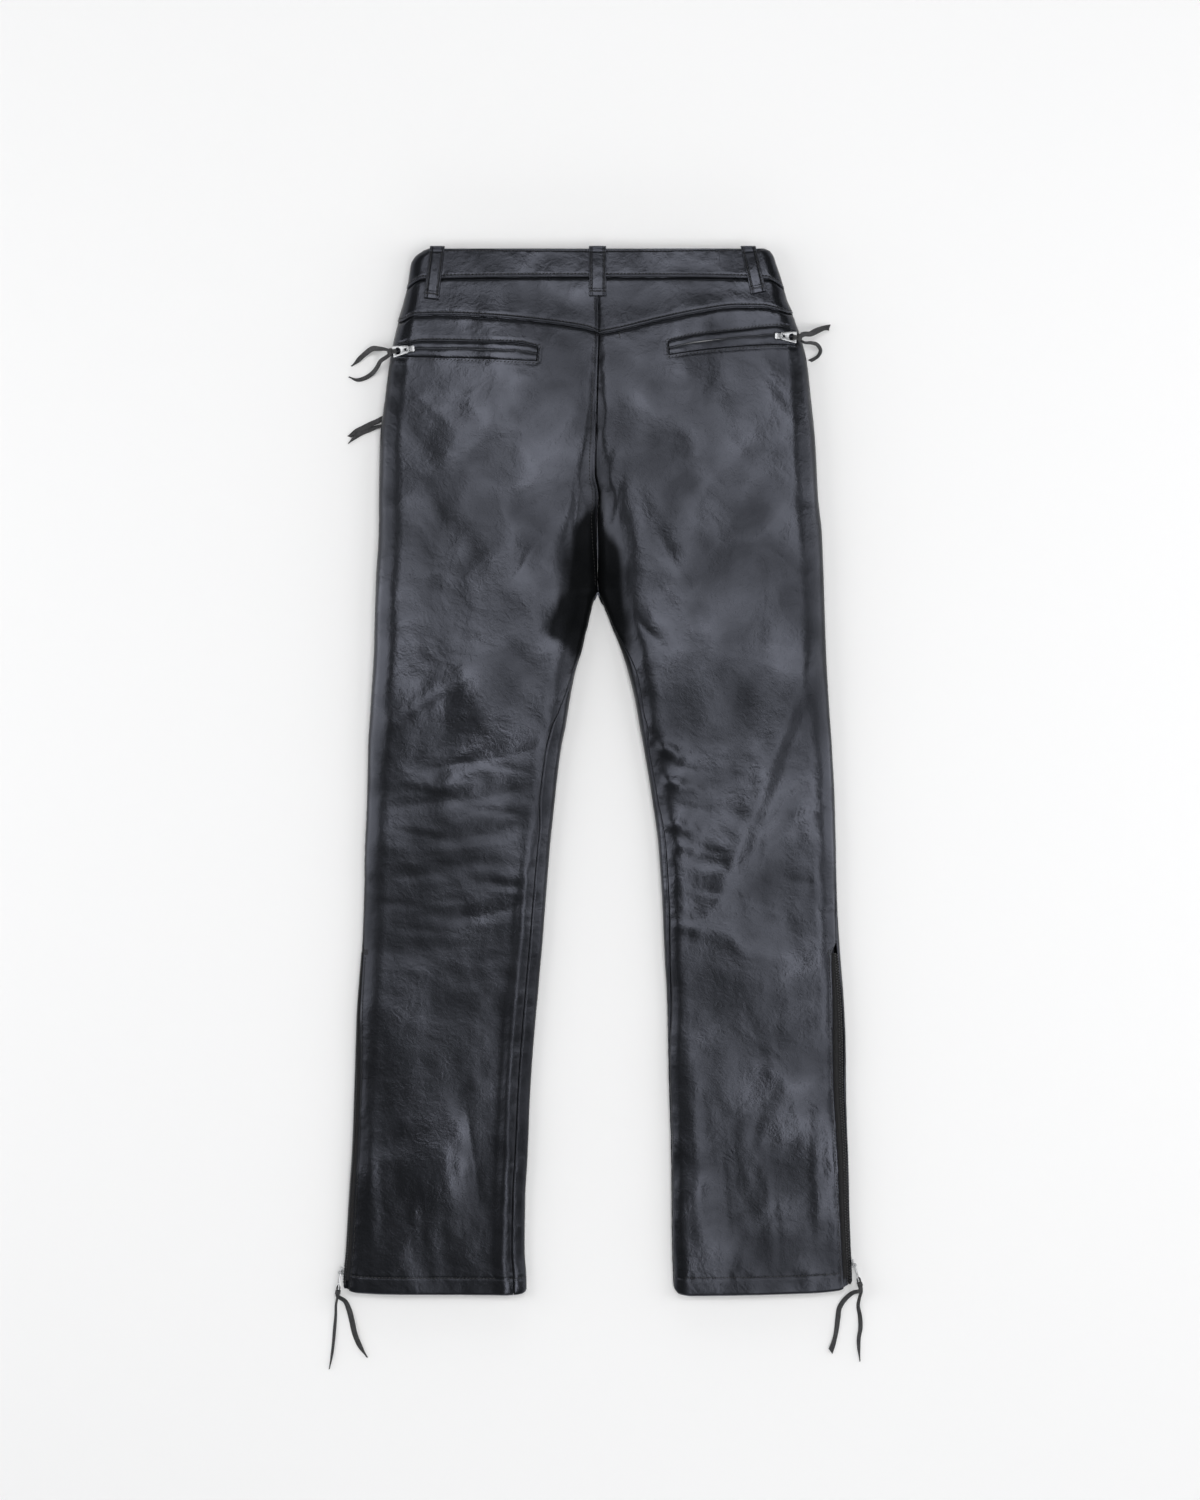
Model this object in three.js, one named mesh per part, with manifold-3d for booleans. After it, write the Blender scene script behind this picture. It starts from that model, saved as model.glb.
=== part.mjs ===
// Leather trousers laid flat on their front, seen from the back. Millimetres, +Z up.
// The waist points to +Y. The surface that the trousers lie on is z = 0.
// "drop" is the distance down the garment from the waistband's top edge.
// The cloth is a wall that follows one section through each leg and half of the hips.
// A place on that section is q: 0 to 1 runs out along the underside, 1 to 3 round the outer
// edge (2 is its outermost point), 3 to 4 in over the top, 4 to 5 down the inner slope and
// 5 to 6 under the inner edge, back to the underside.

import * as THREE from 'three';
import { mergeVertices } from 'three/addons/utils/BufferGeometryUtils.js';
import Module from 'manifold-3d';

const wasm = await Module();
wasm.setup();

// Driving dimensions
const WAIST_Y = 547.8;
const CENTRE_X = 0.94;
const LEATHER = 1.4;
const SEAM_GAP = 0.3;
const BAND_THICK = 2.4;
const BAND_PROUD = 1.2;
const BAND_LIFT = 2.6;
const CROTCH_DROP = 358;
const LOW_CORNER = 328;
const HEM_TURN = 18;
const HEM_THICK = 2.4;
const ZIP_TOP = 737.5;
const ZIP_END = 1086;
const LACE_CORE = 2.6;

// A short table: the first column is looked up, every other column becomes a smooth,
// monotone curve of it.
function table(names, rows) {
  const columns = names.split(' ');
  const at = rows.map((row) => row[0]);
  const curves = {};
  for (let column = 1; column < columns.length; column += 1) {
    const value = rows.map((row) => row[column]);
    const step = (i) => (value[i + 1] - value[i]) / (at[i + 1] - at[i]);
    const slopes = value.map((_, i) => {
      if (i === 0) return step(0);
      if (i === value.length - 1) return step(i - 1);
      const before = step(i - 1);
      const after = step(i);
      return before * after <= 0 ? 0 : (2 * before * after) / (before + after);
    });
    curves[columns[column]] = (where) => {
      const last = at.length - 1;
      if (where <= at[0]) return value[0];
      if (where >= at[last]) return value[last];
      let i = 0;
      while (where > at[i + 1]) i += 1;
      const span = at[i + 1] - at[i];
      const t = (where - at[i]) / span;
      const rest = 1 - t;
      return value[i] * (1 + 2 * t) * rest * rest + value[i + 1] * t * t * (3 - 2 * t)
        + span * (slopes[i] * t * rest * rest - slopes[i + 1] * t * t * rest);
    };
  }
  return curves;
}

// The outline from above, and the sections' heights and widths
const OUTLINE = table('drop left right', [
  [0, -181, 175],
  [3, -187, 180],
  [8, -194, 183.2],
  [15, -198, 185.4],
  [27, -200, 189.5],
  [36, -201.2, 192.3],
  [54, -205.5, 197.3],
  [75, -211, 205.3],
  [95, -216, 212.2],
  [116, -220, 217.4],
  [158, -225.2, 222.1],
  [200, -230.5, 226.3],
  [262, -231.5, 229.6],
  [295, -231.7, 233.2],
  [346, -234.7, 235.3],
  [420, -236.8, 237.8],
  [472, -239.9, 240.6],
  [525, -243, 244.2],
  [578, -244.2, 247],
  [630, -246.2, 248],
  [683, -247.4, 249.6],
  [735, -249.5, 252.6],
  [788, -253.4, 256.6],
  [840, -255.8, 258.7],
  [893, -257.7, 259.4],
  [945, -259.3, 260.8],
  [998, -263, 262.2],
  [1050, -266.3, 264.2],
  [1080, -268.9, 265.6],
  [1099, -269.3, 266.2],
]);
const CENTRE_SEAM = table('drop x', [
  [0, -1.6],
  [60, -1.2],
  [95, -1.1],
  [136, -2.3],
  [190, -3.6],
  [236, -4.6],
  [258, -1.0],
  [287, -2.6],
  [358, -1.5],
]);
const INNER_EDGE = table('drop left right', [
  [358, -1.5, -1.5],
  [367, -5.6, 1.6],
  [394, -12.1, 12.1],
  [420, -18.4, 22.6],
  [446, -26, 30.6],
  [472, -31, 37],
  [499, -35.4, 41.8],
  [525, -40.4, 46.6],
  [578, -46.8, 55.2],
  [630, -52, 62.2],
  [683, -56.2, 65.6],
  [735, -60.5, 67.9],
  [788, -65, 70.7],
  [840, -69.6, 72],
  [893, -73, 73.2],
  [945, -75.3, 75],
  [998, -77.8, 75.7],
  [1050, -78.3, 76.3],
  [1080, -76.7, 77.2],
  [1099, -76.5, 78],
]);
const SHAPE = table('drop crown outerSlope innerSlope innerZ innerFoot', [
  [0, 21.5, 12, 5, 20.6, 0],
  [36, 25, 15, 6, 23.6, 0],
  [75, 27.5, 18, 7, 25.8, 0],
  [116, 30, 21, 9, 27.2, 0],
  [200, 32, 25, 13, 27.0, 0],
  [262, 32, 27, 20, 22, 0],
  [305, 32, 28, 27, 14.5, 0],
  [340, 31.5, 28, 30, 8.5, 0],
  [358, 31, 28, 30, 6.2, 0],
  [394, 30, 28, 30, 7.5, 4],
  [446, 29, 28, 29, 10.5, 7],
  [525, 25.5, 27, 27, 10.5, 8],
  [630, 23, 26, 26, 9.6, 7.5],
  [788, 20, 25, 24, 8.2, 6.5],
  [945, 18, 23, 21, 7.4, 6],
  [1099, 14, 18, 16, 5.8, 4.5],
]);
const WIDEST_SHARE = 0.42;
const OUTER_FOOT_SHARE = 0.32;
const OUTER_TOP_SHARE = 0.94;
const INNER_TOP_SHARE = 0.96;

// How far the seams lie in from the outline, as seen from above
const INSEAM = table('drop left right', [
  [358, 0, 0],
  [400, 0.6, 2],
  [446, 2.4, 8.5],
  [486, 10, 6.5],
  [500, 14, 8],
  [526, 15.5, 5],
  [577, 16, 5.5],
  [610, 12.5, 7.5],
  [683, 13, 6.5],
  [788, 13, 3.2],
  [850, 12.5, 0.4],
  [1099, 13.5, 0],
]);
const SIDE_SEAM = table('drop leftBack leftFront rightBack rightFront', [
  [600, 0, 0, 0, 0],
  [700, 0, 0, 2.2, 2.2],
  [726, 0.3, 0.3, 3.4, 3.4],
  [731, 0.8, 0.2, 5.5, 3.1],
  [737, 1.4, 0, 9, 2.8],
  [790, 2.8, 0, 11.6, 2.4],
  [840, 4, 0, 13.4, 2.2],
  [945, 4.8, 0, 11, 1.4],
  [1060, 5.4, 0, 9.4, 1.2],
  [1099, 5.4, 0, 9.2, 1.2],
]);

// The hem's edge is not quite level: its drop against the share of the way in across a leg
const HEM = table('across left right', [
  [0, 1091, 1085],
  [0.08, 1095, 1092.5],
  [0.28, 1096.5, 1095.5],
  [0.9, 1097, 1098],
  [0.97, 1096, 1096],
  [1, 1093.5, 1090.5],
]);
const HEM_LEVEL = 1096;
const HEM_BLEND = 70;

// The seam under the yoke: its drop against x
const YOKE_SEAM = {
  left: table('x drop', [
    [-212, 75.8],
    [-198, 70],
    [-166, 69.3],
    [-118, 71.4],
    [-70, 75.6],
    [-37, 79.8],
    [-13, 84],
    [-2, 88.2],
  ]).drop,
  right: table('x drop', [
    [-2, 89.5],
    [12, 87.2],
    [67, 74.6],
    [110, 66.4],
    [154, 61],
    [180, 61.2],
    [206, 67],
  ]).drop,
};

// The zip pockets' windows: the drops of their edges against x, and the two ends
const POCKETS = {
  left: {
    outer: -211,
    inner: -64,
    ...table('x top bottom', [
      [-211, 102.3, 113.2],
      [-182, 97.5, 114.2],
      [-134, 98.3, 115.3],
      [-86, 99.5, 117.4],
      [-64, 104, 118.4],
    ]),
  },
  right: {
    outer: 205,
    inner: 72,
    ...table('x top bottom', [
      [72, 98.2, 111.8],
      [101, 91.7, 107.6],
      [154, 85.8, 102.3],
      [188, 82.4, 100.8],
      [205, 84.6, 101.4],
    ]),
  },
};
const SLIT_SHARE = 0.44;
const SLIT_HALF = 0.6;
const GAPE_HALF = 1.2;

// The largest folds, each a soft ridge (or, with a negative height, a trough) from one
// end to the other
const FOLDS = [
  ['x1', 'drop1', 'x2', 'drop2', 'width', 'height'],
  [-222, 500, -112, 432, 17, 1.7],
  [-215, 548, -120, 500, 15, -1.0],
  [232, 398, 112, 712, 20, 1.5],
  [196, 380, 90, 560, 18, -1.1],
  [-66, 522, -196, 552, 8, -1.3],
  [-72, 566, -228, 588, 8, -1.2],
  [-70, 606, -180, 622, 8, -1.3],
  [-110, 642, -232, 662, 9, -1.0],
  [-74, 688, -170, 704, 9, -1.1],
  [-150, 728, -236, 742, 10, -0.8],
  [62, 520, 98, 534, 8, 1.4],
  [66, 558, 112, 566, 8, 1.3],
  [70, 600, 108, 612, 9, 1.2],
  [86, 636, 142, 650, 9, -1.0],
  [92, 706, 150, 724, 10, 1.0],
  [12, 162, -2, 208, 6, 1.1],
  [20, 206, 7, 258, 6, 1.1],
  [-16, 210, -34, 282, 9, 1.0],
  [36, 262, 84, 336, 12, -1.4],
  [-38, 268, -90, 350, 12, -1.4],
  [-190, 262, -120, 330, 16, -1.0],
  [196, 250, 130, 322, 16, -1.0],
  [-150, 126, -90, 172, 18, 1.0],
  [90, 132, 150, 190, 18, 1.0],
  [-160, 820, -120, 1010, 16, -0.9],
  [150, 800, 190, 1010, 16, -0.9],
  [-240, 900, -236, 1060, 8, 0.8],
  [-92, 760, -100, 1040, 7, 1.1],
  [100, 860, 104, 1050, 8, 0.8],
  [226, 900, 230, 1050, 7, 0.7],
].slice(1).map(([x1, drop1, x2, drop2, width, height]) => (
  { x1, drop1, x2, drop2, width, height }));

// Colours of the real finishes
const LEATHER_BLACK = { color: 0x1b1c1e, roughness: 0.42, metalness: 0 };
const LACE_BLACK = { color: 0x2a2a2b, roughness: 0.7, metalness: 0 };
const NICKEL = { color: 0xb9bbbf, roughness: 0.3, metalness: 1 };
const TAPE_BLACK = { color: 0x151516, roughness: 0.85, metalness: 0 };

const group = new THREE.Group();
group.position.x = CENTRE_X;

const mix = (a, b, t) => a + (b - a) * t;
const clamp01 = (t) => Math.min(1, Math.max(0, t));
const smooth = (low, high, value) => {
  const t = clamp01((value - low) / (high - low));
  return t * t * (3 - 2 * t);
};
const signOf = (side) => (side === 'left' ? -1 : 1);

function addMesh(name, geometry, finish) {
  const mesh = new THREE.Mesh(geometry, new THREE.MeshStandardMaterial(finish));
  mesh.name = name;
  group.add(mesh);
  return mesh;
}

// The sizes of the section through one leg, or one half of the hips
function sizesAt(side, drop) {
  const sign = signOf(side);
  const crown = SHAPE.crown(drop);
  const inner = drop < CROTCH_DROP ? CENTRE_SEAM.x(drop) : INNER_EDGE[side](drop);
  return {
    sign,
    outer: OUTLINE[side](drop),
    inner: inner + (sign * SEAM_GAP) / 2,
    widestZ: crown * WIDEST_SHARE,
    foot: crown * OUTER_FOOT_SHARE,
    outerTop: crown * OUTER_TOP_SHARE,
    innerTop: crown * INNER_TOP_SHARE,
    swell: crown * (1 - INNER_TOP_SHARE),
    outerSlope: SHAPE.outerSlope(drop),
    innerSlope: SHAPE.innerSlope(drop),
    innerZ: SHAPE.innerZ(drop),
    innerFoot: SHAPE.innerFoot(drop),
    roundness: smooth(230, 350, drop),
  };
}

function sectionPoint(size, place) {
  const q = place < 0 ? place + 6 : place;
  const part = Math.min(5, Math.floor(q));
  const t = q - part;
  const sin = Math.sin((t * Math.PI) / 2);
  const cos = Math.cos((t * Math.PI) / 2);
  const { sign, outer, inner } = size;
  if (part === 0) return [mix(inner + sign * size.innerFoot, outer - sign * size.foot, t), 0];
  if (part === 1) return [outer - sign * size.foot * (1 - sin), size.widestZ * (1 - cos)];
  if (part === 2) {
    return [outer - sign * size.outerSlope * (1 - cos), mix(size.widestZ, size.outerTop, sin)];
  }
  if (part === 3) {
    const swell = size.swell * Math.sin(t * Math.PI) ** 2;
    return [mix(outer - sign * size.outerSlope, inner + sign * size.innerSlope, t),
      mix(size.outerTop, size.innerTop, t) + swell];
  }
  if (part === 4) {
    const run = mix(t, sin, size.roundness);
    return [inner + sign * size.innerSlope * (1 - run), mix(size.innerZ, size.innerTop, cos)];
  }
  return [inner + sign * size.innerFoot * (1 - cos), size.innerZ * (1 - sin)];
}

// The height of the folds at a point of the top
function foldHeight(x, drop) {
  let height = 0;
  for (const fold of FOLDS) {
    const runX = fold.x2 - fold.x1;
    const runD = fold.drop2 - fold.drop1;
    const length = Math.hypot(runX, runD);
    const along = ((x - fold.x1) * runX + (drop - fold.drop1) * runD) / (length * length);
    const across = ((x - fold.x1) * runD - (drop - fold.drop1) * runX) / length / fold.width;
    const ends = smooth(-0.12, 0.3, along) * (1 - smooth(0.7, 1.12, along));
    height += fold.height * ends * Math.exp(-across * across);
  }
  return height;
}

function surfacePoint(side, q, drop) {
  const size = sizesAt(side, drop);
  const [x, z] = sectionPoint(size, q);
  const mask = smooth(2.15, 2.9, q) * (1 - smooth(4.5, 5, q));
  if (mask > 0) {
    const step = 0.01;
    const [x1, z1] = sectionPoint(size, q - step);
    const [x2, z2] = sectionPoint(size, q + step);
    const length = Math.hypot(x2 - x1, z2 - z1);
    const lift = foldHeight(x, drop) * mask;
    return new THREE.Vector3(x + (size.sign * (z2 - z1) * lift) / length, WAIST_Y - drop,
      z - (size.sign * (x2 - x1) * lift) / length);
  }
  return new THREE.Vector3(x, WAIST_Y - drop, z);
}

function surfaceNormal(side, q, drop) {
  const step = 0.012;
  const low = q < step ? q : q - step;
  const atEnd = q > 6 - step || (q <= 5 && q > 5 - step);
  const high = atEnd ? q : q + step;
  const alongQ = surfacePoint(side, high, drop).sub(surfacePoint(side, low, drop));
  const alongD = surfacePoint(side, q, drop + 1).sub(surfacePoint(side, q, drop - 1));
  return alongQ.cross(alongD).multiplyScalar(signOf(side)).normalize();
}

// A point of the wall: offset is measured outwards from the section's line
function wallPoint(side, q, drop, offset) {
  const point = surfacePoint(side, q, drop);
  if (offset === 0) return point;
  point.addScaledVector(surfaceNormal(side, q, drop), offset);
  if (drop < CROTCH_DROP) {
    const { sign, inner } = sizesAt(side, drop);
    point.x = sign * Math.max(sign * point.x, sign * inner);
  }
  return point;
}

// A closed wall over a grid of outer and inner points. Cells that are not present are
// windows through it.
function wallGeometry(columnCount, rowCount, pointAt, present = () => true) {
  const positions = [];
  const layer = columnCount * rowCount;
  for (const depth of [0, 1]) {
    for (let row = 0; row < rowCount; row += 1) {
      for (let column = 0; column < columnCount; column += 1) {
        const point = pointAt(column, row, depth);
        positions.push(point.x, point.y, point.z);
      }
    }
  }
  const index = (column, row, depth) => depth * layer + row * columnCount + column;
  const filled = (column, row) => (
    column >= 0 && row >= 0 && column < columnCount - 1 && row < rowCount - 1
    && present(column, row));
  const faces = [];
  const quad = (a, b, c, d) => faces.push(a, b, c, a, c, d);
  for (let row = 0; row < rowCount - 1; row += 1) {
    for (let column = 0; column < columnCount - 1; column += 1) {
      if (!filled(column, row)) continue;
      const corners = [[0, 0], [1, 0], [1, 1], [0, 1]].map(([i, j]) => [column + i, row + j]);
      quad(...corners.map(([i, j]) => index(i, j, 0)));
      quad(...corners.map(([i, j]) => index(i, j, 1)).reverse());
      const beside = [[0, -1], [1, 0], [0, 1], [-1, 0]];
      beside.forEach(([stepColumn, stepRow], edge) => {
        if (filled(column + stepColumn, row + stepRow)) return;
        const [i1, j1] = corners[edge];
        const [i2, j2] = corners[(edge + 1) % corners.length];
        quad(index(i2, j2, 0), index(i1, j1, 0), index(i1, j1, 1), index(i2, j2, 1));
      });
    }
  }
  return orient(positions, faces);
}

// Six times the volume that the faces enclose, negative where they point inwards
function signedVolume(positions, faces) {
  let total = 0;
  for (let i = 0; i < faces.length; i += 3) {
    const [a, b, c] = [0, 1, 2].map((k) => (
      new THREE.Vector3().fromArray(positions, faces[i + k] * 3)));
    total += a.dot(b.cross(c));
  }
  return total;
}

function orient(positions, faces) {
  if (signedVolume(positions, faces) < 0) faces.reverse();
  const geometry = new THREE.BufferGeometry();
  geometry.setAttribute('position', new THREE.Float32BufferAttribute(positions, 3));
  geometry.setIndex(faces);
  geometry.computeVertexNormals();
  return geometry;
}

// Solids for cutting and joining
function toSolid(geometry) {
  const bare = geometry.clone();
  bare.deleteAttribute('normal');
  bare.deleteAttribute('uv');
  const merged = mergeVertices(bare, 1e-4);
  return new wasm.Manifold(new wasm.Mesh({
    numProp: 3,
    vertProperties: new Float32Array(merged.attributes.position.array),
    triVerts: new Uint32Array(merged.index.array),
  }));
}

function fromSolid(solid) {
  const mesh = solid.getMesh();
  const geometry = new THREE.BufferGeometry();
  geometry.setAttribute('position', new THREE.BufferAttribute(mesh.vertProperties, 3));
  geometry.setIndex(new THREE.BufferAttribute(mesh.triVerts, 1));
  geometry.computeVertexNormals();
  return geometry;
}

// Places on the section, from sizes
const insetPlace = (side, inset, drop) => (
  2 + (2 / Math.PI) * Math.acos(1 - clamp01(inset / SHAPE.outerSlope(drop))));
const stripPlace = (side, inset, drop) => (
  5 - (2 / Math.PI) * Math.acos(1 - clamp01(inset / SHAPE.innerSlope(drop))));

function halfGap(side, q, drop) {
  const step = 0.02;
  const run = surfacePoint(side, q + step, drop).distanceTo(surfacePoint(side, q - step, drop));
  return (SEAM_GAP / 2) * ((2 * step) / run);
}

const EDGE_GAP_SHARE = 1.4;
function sidePlace(side, drop, panel) {
  const q = insetPlace(side, SIDE_SEAM[side + panel](drop), drop);
  return q + (panel === 'Back' ? 1 : -1) * EDGE_GAP_SHARE * halfGap(side, q, drop);
}

function innerPlace(side, drop, panel) {
  if (drop < CROTCH_DROP) {
    if (panel === 'Back') return 5;
    const rise = clamp01((drop - LOW_CORNER) / (CROTCH_DROP - LOW_CORNER));
    return rise === 0 ? 0 : -rise * (1 - SEAM_GAP / SHAPE.innerZ(drop));
  }
  const q = stripPlace(side, INSEAM[side](drop), drop);
  const gap = Math.min(0.05, EDGE_GAP_SHARE * halfGap(side, q - 0.03, drop));
  return panel === 'Back' ? q - gap : q + gap - 6;
}

// The waistband's lower seam dips towards the sides
function bandSeam(q) {
  const level = q > 2 ? 29.5 : 34;
  const reach = q > 2 ? 0.75 : 0.6;
  return level + (42 - level) * Math.exp(-(((q - 2) / reach) ** 2));
}

const NOMINAL_DROP = 100;
const topX = (side, q) => sectionPoint(sizesAt(side, NOMINAL_DROP), q)[0];
const yokeSeam = (side, q) => YOKE_SEAM[side](topX(side, q));

// Columns: the share of the way from the side seam to the inner seam
const SLOPE_SHARE = 0.26;
function backPlace(side, share, drop) {
  const start = sidePlace(side, drop, 'Back');
  const end = innerPlace(side, drop, 'Back');
  if (share < SLOPE_SHARE) return mix(start, 3, share / SLOPE_SHARE);
  if (share > 1 - SLOPE_SHARE) return mix(4, end, (share - 1 + SLOPE_SHARE) / SLOPE_SHARE);
  return 3 + (share - SLOPE_SHARE) / (1 - 2 * SLOPE_SHARE);
}

const FRONT_ROLL_SHARE = 0.36;
const FLAT_START = 0.1;
const FLAT_END = 0.95;
function frontPlace(side, share, drop) {
  const start = innerPlace(side, drop, 'Front');
  const end = sidePlace(side, drop, 'Front');
  if (share < FRONT_ROLL_SHARE) return mix(start, FLAT_START, share / FRONT_ROLL_SHARE);
  if (share > 1 - FRONT_ROLL_SHARE) {
    return mix(FLAT_END, end, (share - 1 + FRONT_ROLL_SHARE) / FRONT_ROLL_SHARE);
  }
  return mix(FLAT_START, FLAT_END,
    (share - FRONT_ROLL_SHARE) / (1 - 2 * FRONT_ROLL_SHARE));
}

// The place of a window's end, as a share of the columns
function windowShare(side, x) {
  const size = sizesAt(side, NOMINAL_DROP);
  const inset = Math.abs(size.outer - x);
  if (inset < size.outerSlope) {
    return SLOPE_SHARE * (insetPlace(side, inset, NOMINAL_DROP) - 2);
  }
  const start = size.outer - size.sign * size.outerSlope;
  const end = size.inner + size.sign * size.innerSlope;
  return SLOPE_SHARE + (1 - 2 * SLOPE_SHARE) * ((x - start) / (end - start));
}

const windowEnds = (side) => (
  [windowShare(side, POCKETS[side].outer), windowShare(side, POCKETS[side].inner)]);

const BACK_COLUMNS = { overPocket: [0.195, 0.26, 0.35, 0.45], beyond: [0.74, 0.8, 0.86, 0.93, 1] };
const BESIDE_WINDOW = 0.055;
function backColumns(side) {
  const [outer, inner] = windowEnds(side);
  return [0, outer / 2, outer, ...BACK_COLUMNS.overPocket, inner - BESIDE_WINDOW, inner,
    ...BACK_COLUMNS.beyond];
}
const FRONT_COLUMNS = [0, 0.09, 0.18, 0.27, 0.36, 0.5, 0.64, 0.73, 0.82, 0.91, 1];

// Rows below the pockets are level. The same rows serve back and front, so that their
// seams meet point to point.
const LEVEL_ROWS = [150, 178, 204, 230, 252, 274, 296, 314, 328, 338, 348, 355, 359, 364, 372,
  384, 402, 424, 446, 470, 494, 520, 548, 578, 610, 645, 685, 722, 731, 737, 760, 800, 850,
  900, 950, 1000, 1045, 1074, HEM_LEVEL];

function hemDrop(side, drop, q) {
  const size = sizesAt(side, drop);
  const x = sectionPoint(size, q)[0];
  const across = clamp01((size.outer - x) / (size.outer - size.inner));
  const weight = smooth(HEM_LEVEL - HEM_BLEND, HEM_LEVEL, drop);
  return drop + (HEM[side](across) - HEM_LEVEL) * weight;
}

function wallDepth(q, drop) {
  const turned = smooth(HEM_LEVEL - HEM_TURN - 4, HEM_LEVEL - HEM_TURN + 4, drop);
  const besideZip = smooth(1.3, 1.8, q) * (1 - smooth(2.7, 3, q));
  return mix(LEATHER, HEM_THICK, turned * (1 - besideZip));
}

function addBack(side) {
  const shares = backColumns(side);
  const pocket = POCKETS[side];
  const headRows = 5;
  const seatDrop = LEVEL_ROWS[0];
  const dropAt = (share, row) => {
    if (row >= headRows) return LEVEL_ROWS[row - headRows];
    const q = backPlace(side, share, NOMINAL_DROP);
    const x = topX(side, q);
    const seam = yokeSeam(side, q) + SEAM_GAP / 2;
    const [top, bottom] = [pocket.top(x), pocket.bottom(x)];
    return [seam, mix(seam, top, 0.55), top, bottom, mix(bottom, seatDrop, 0.5)][row];
  };
  const [outer, inner] = windowEnds(side);
  const isWindow = (column, row) => (
    row === 2 && shares[column] >= outer - 1e-6 && shares[column + 1] <= inner + 1e-6);
  const geometry = wallGeometry(shares.length, headRows + LEVEL_ROWS.length,
    (column, row, depth) => {
      const level = dropAt(shares[column], row);
      const q = backPlace(side, shares[column], level);
      const drop = hemDrop(side, level, q);
      return wallPoint(side, q, drop, depth === 0 ? 0 : -wallDepth(q, level));
    },
    (column, row) => !isWindow(column, row));
  addMesh(`back_panel_${side}`, geometry, LEATHER_BLACK);
}

// On the underside the waist stands off the surface by the belt loops and the button
function undersideLift(q, drop) {
  return BAND_LIFT * (1 - smooth(1.1, 2, q)) * (1 - smooth(54, 84, drop));
}

function frontDrops(side) {
  const q = 2;
  const x = topX(side, q);
  const seam = yokeSeam(side, q);
  const pocket = POCKETS[side];
  return [bandSeam(q), mix(bandSeam(q), seam, 0.5), seam, mix(seam, pocket.top(x), 0.55),
    pocket.top(x), pocket.bottom(x), mix(pocket.bottom(x), LEVEL_ROWS[0], 0.5), ...LEVEL_ROWS];
}

function frontGeometry(side) {
  const drops = frontDrops(side);
  return wallGeometry(FRONT_COLUMNS.length, drops.length, (column, row, depth) => {
    const q = frontPlace(side, FRONT_COLUMNS[column], drops[row]);
    const place = q < 0 ? q + 6 : q;
    const level = row === 0 ? bandSeam(q) + SEAM_GAP / 2 : drops[row];
    const drop = hemDrop(side, level, place);
    const lift = undersideLift(Math.max(q, 0), level);
    return wallPoint(side, place, drop, -lift - (depth === 0 ? 0 : wallDepth(place, level)));
  });
}

// The yoke's lower edge laps over the panel: rows are shares of the way down it
const YOKE_ROWS = [
  { share: 0, proud: 0 },
  { share: 0.5, proud: 0 },
  { share: 0.85, proud: 0.5 },
  { share: 1, proud: 0.9 },
];
function addYoke(side) {
  const shares = backColumns(side);
  const geometry = wallGeometry(shares.length, YOKE_ROWS.length, (column, row, depth) => {
    const q = backPlace(side, shares[column], NOMINAL_DROP);
    const top = bandSeam(q) + SEAM_GAP / 2;
    const bottom = yokeSeam(side, q) - SEAM_GAP / 2;
    const { share, proud } = YOKE_ROWS[row];
    return wallPoint(side, q, mix(top, bottom, share), proud - (depth === 0 ? 0 : LEATHER));
  });
  addMesh(`yoke_${side}`, geometry, LEATHER_BLACK);
}

// One half of the waistband, from the centre back round the side to the centre front.
// At the centre front the right half tucks in under the left one.
const OVERLAP = 12;
const UNDERLAP = 20;
const BAND_ROWS = [0, 0.12, 0.5, 1];
const NEAR_FLY = { left: 0.03, right: 0.075 };
function addWaistband(side) {
  const backShares = [...backColumns(side)].reverse();
  const frontShares = [...FRONT_COLUMNS].reverse().filter((share) => share >= FRONT_ROLL_SHARE);
  const places = [
    ...backShares.map((share) => backPlace(side, share, NOMINAL_DROP)),
    ...frontShares.slice(1).map((share) => frontPlace(side, share, NOMINAL_DROP)),
    NEAR_FLY[side],
    0,
  ];
  const tuck = side === 'right' ? BAND_THICK + SEAM_GAP : 0;
  const geometry = wallGeometry(places.length + 1, BAND_ROWS.length, (column, row, depth) => {
    const beyond = column === places.length;
    const q = beyond ? 0 : places[column];
    const drop = mix(0, bandSeam(q) - SEAM_GAP / 2, BAND_ROWS[row]);
    const proud = BAND_PROUD * smooth(2, 2.5, q);
    const tucked = tuck * (1 - smooth(0.07, 0.28, q));
    const outward = proud - undersideLift(q, drop) - tucked;
    const point = wallPoint(side, q, drop, outward - (depth === 0 ? 0 : BAND_THICK));
    if (beyond) point.x -= signOf(side) * (side === 'left' ? OVERLAP : UNDERLAP);
    return point;
  });
  addMesh(`waistband_${side}`, geometry, LEATHER_BLACK);
}

// The strip behind the fly, inside both fronts
const SHIELD = { left: -34, right: 26, top: 38, bottom: 205 };
function addFlyShield() {
  const xs = [SHIELD.left, -4, SHIELD.right];
  const drops = [SHIELD.top, 54, 68, 84, 140, SHIELD.bottom];
  const geometry = wallGeometry(xs.length, drops.length, (column, row, depth) => {
    const lift = undersideLift(0, drops[row]);
    const z = lift + LEATHER + SEAM_GAP + (depth === 0 ? 0 : LEATHER);
    return new THREE.Vector3(xs[column], WAIST_Y - drops[row], z);
  });
  addMesh('fly_shield', geometry, LEATHER_BLACK);
}

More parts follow.
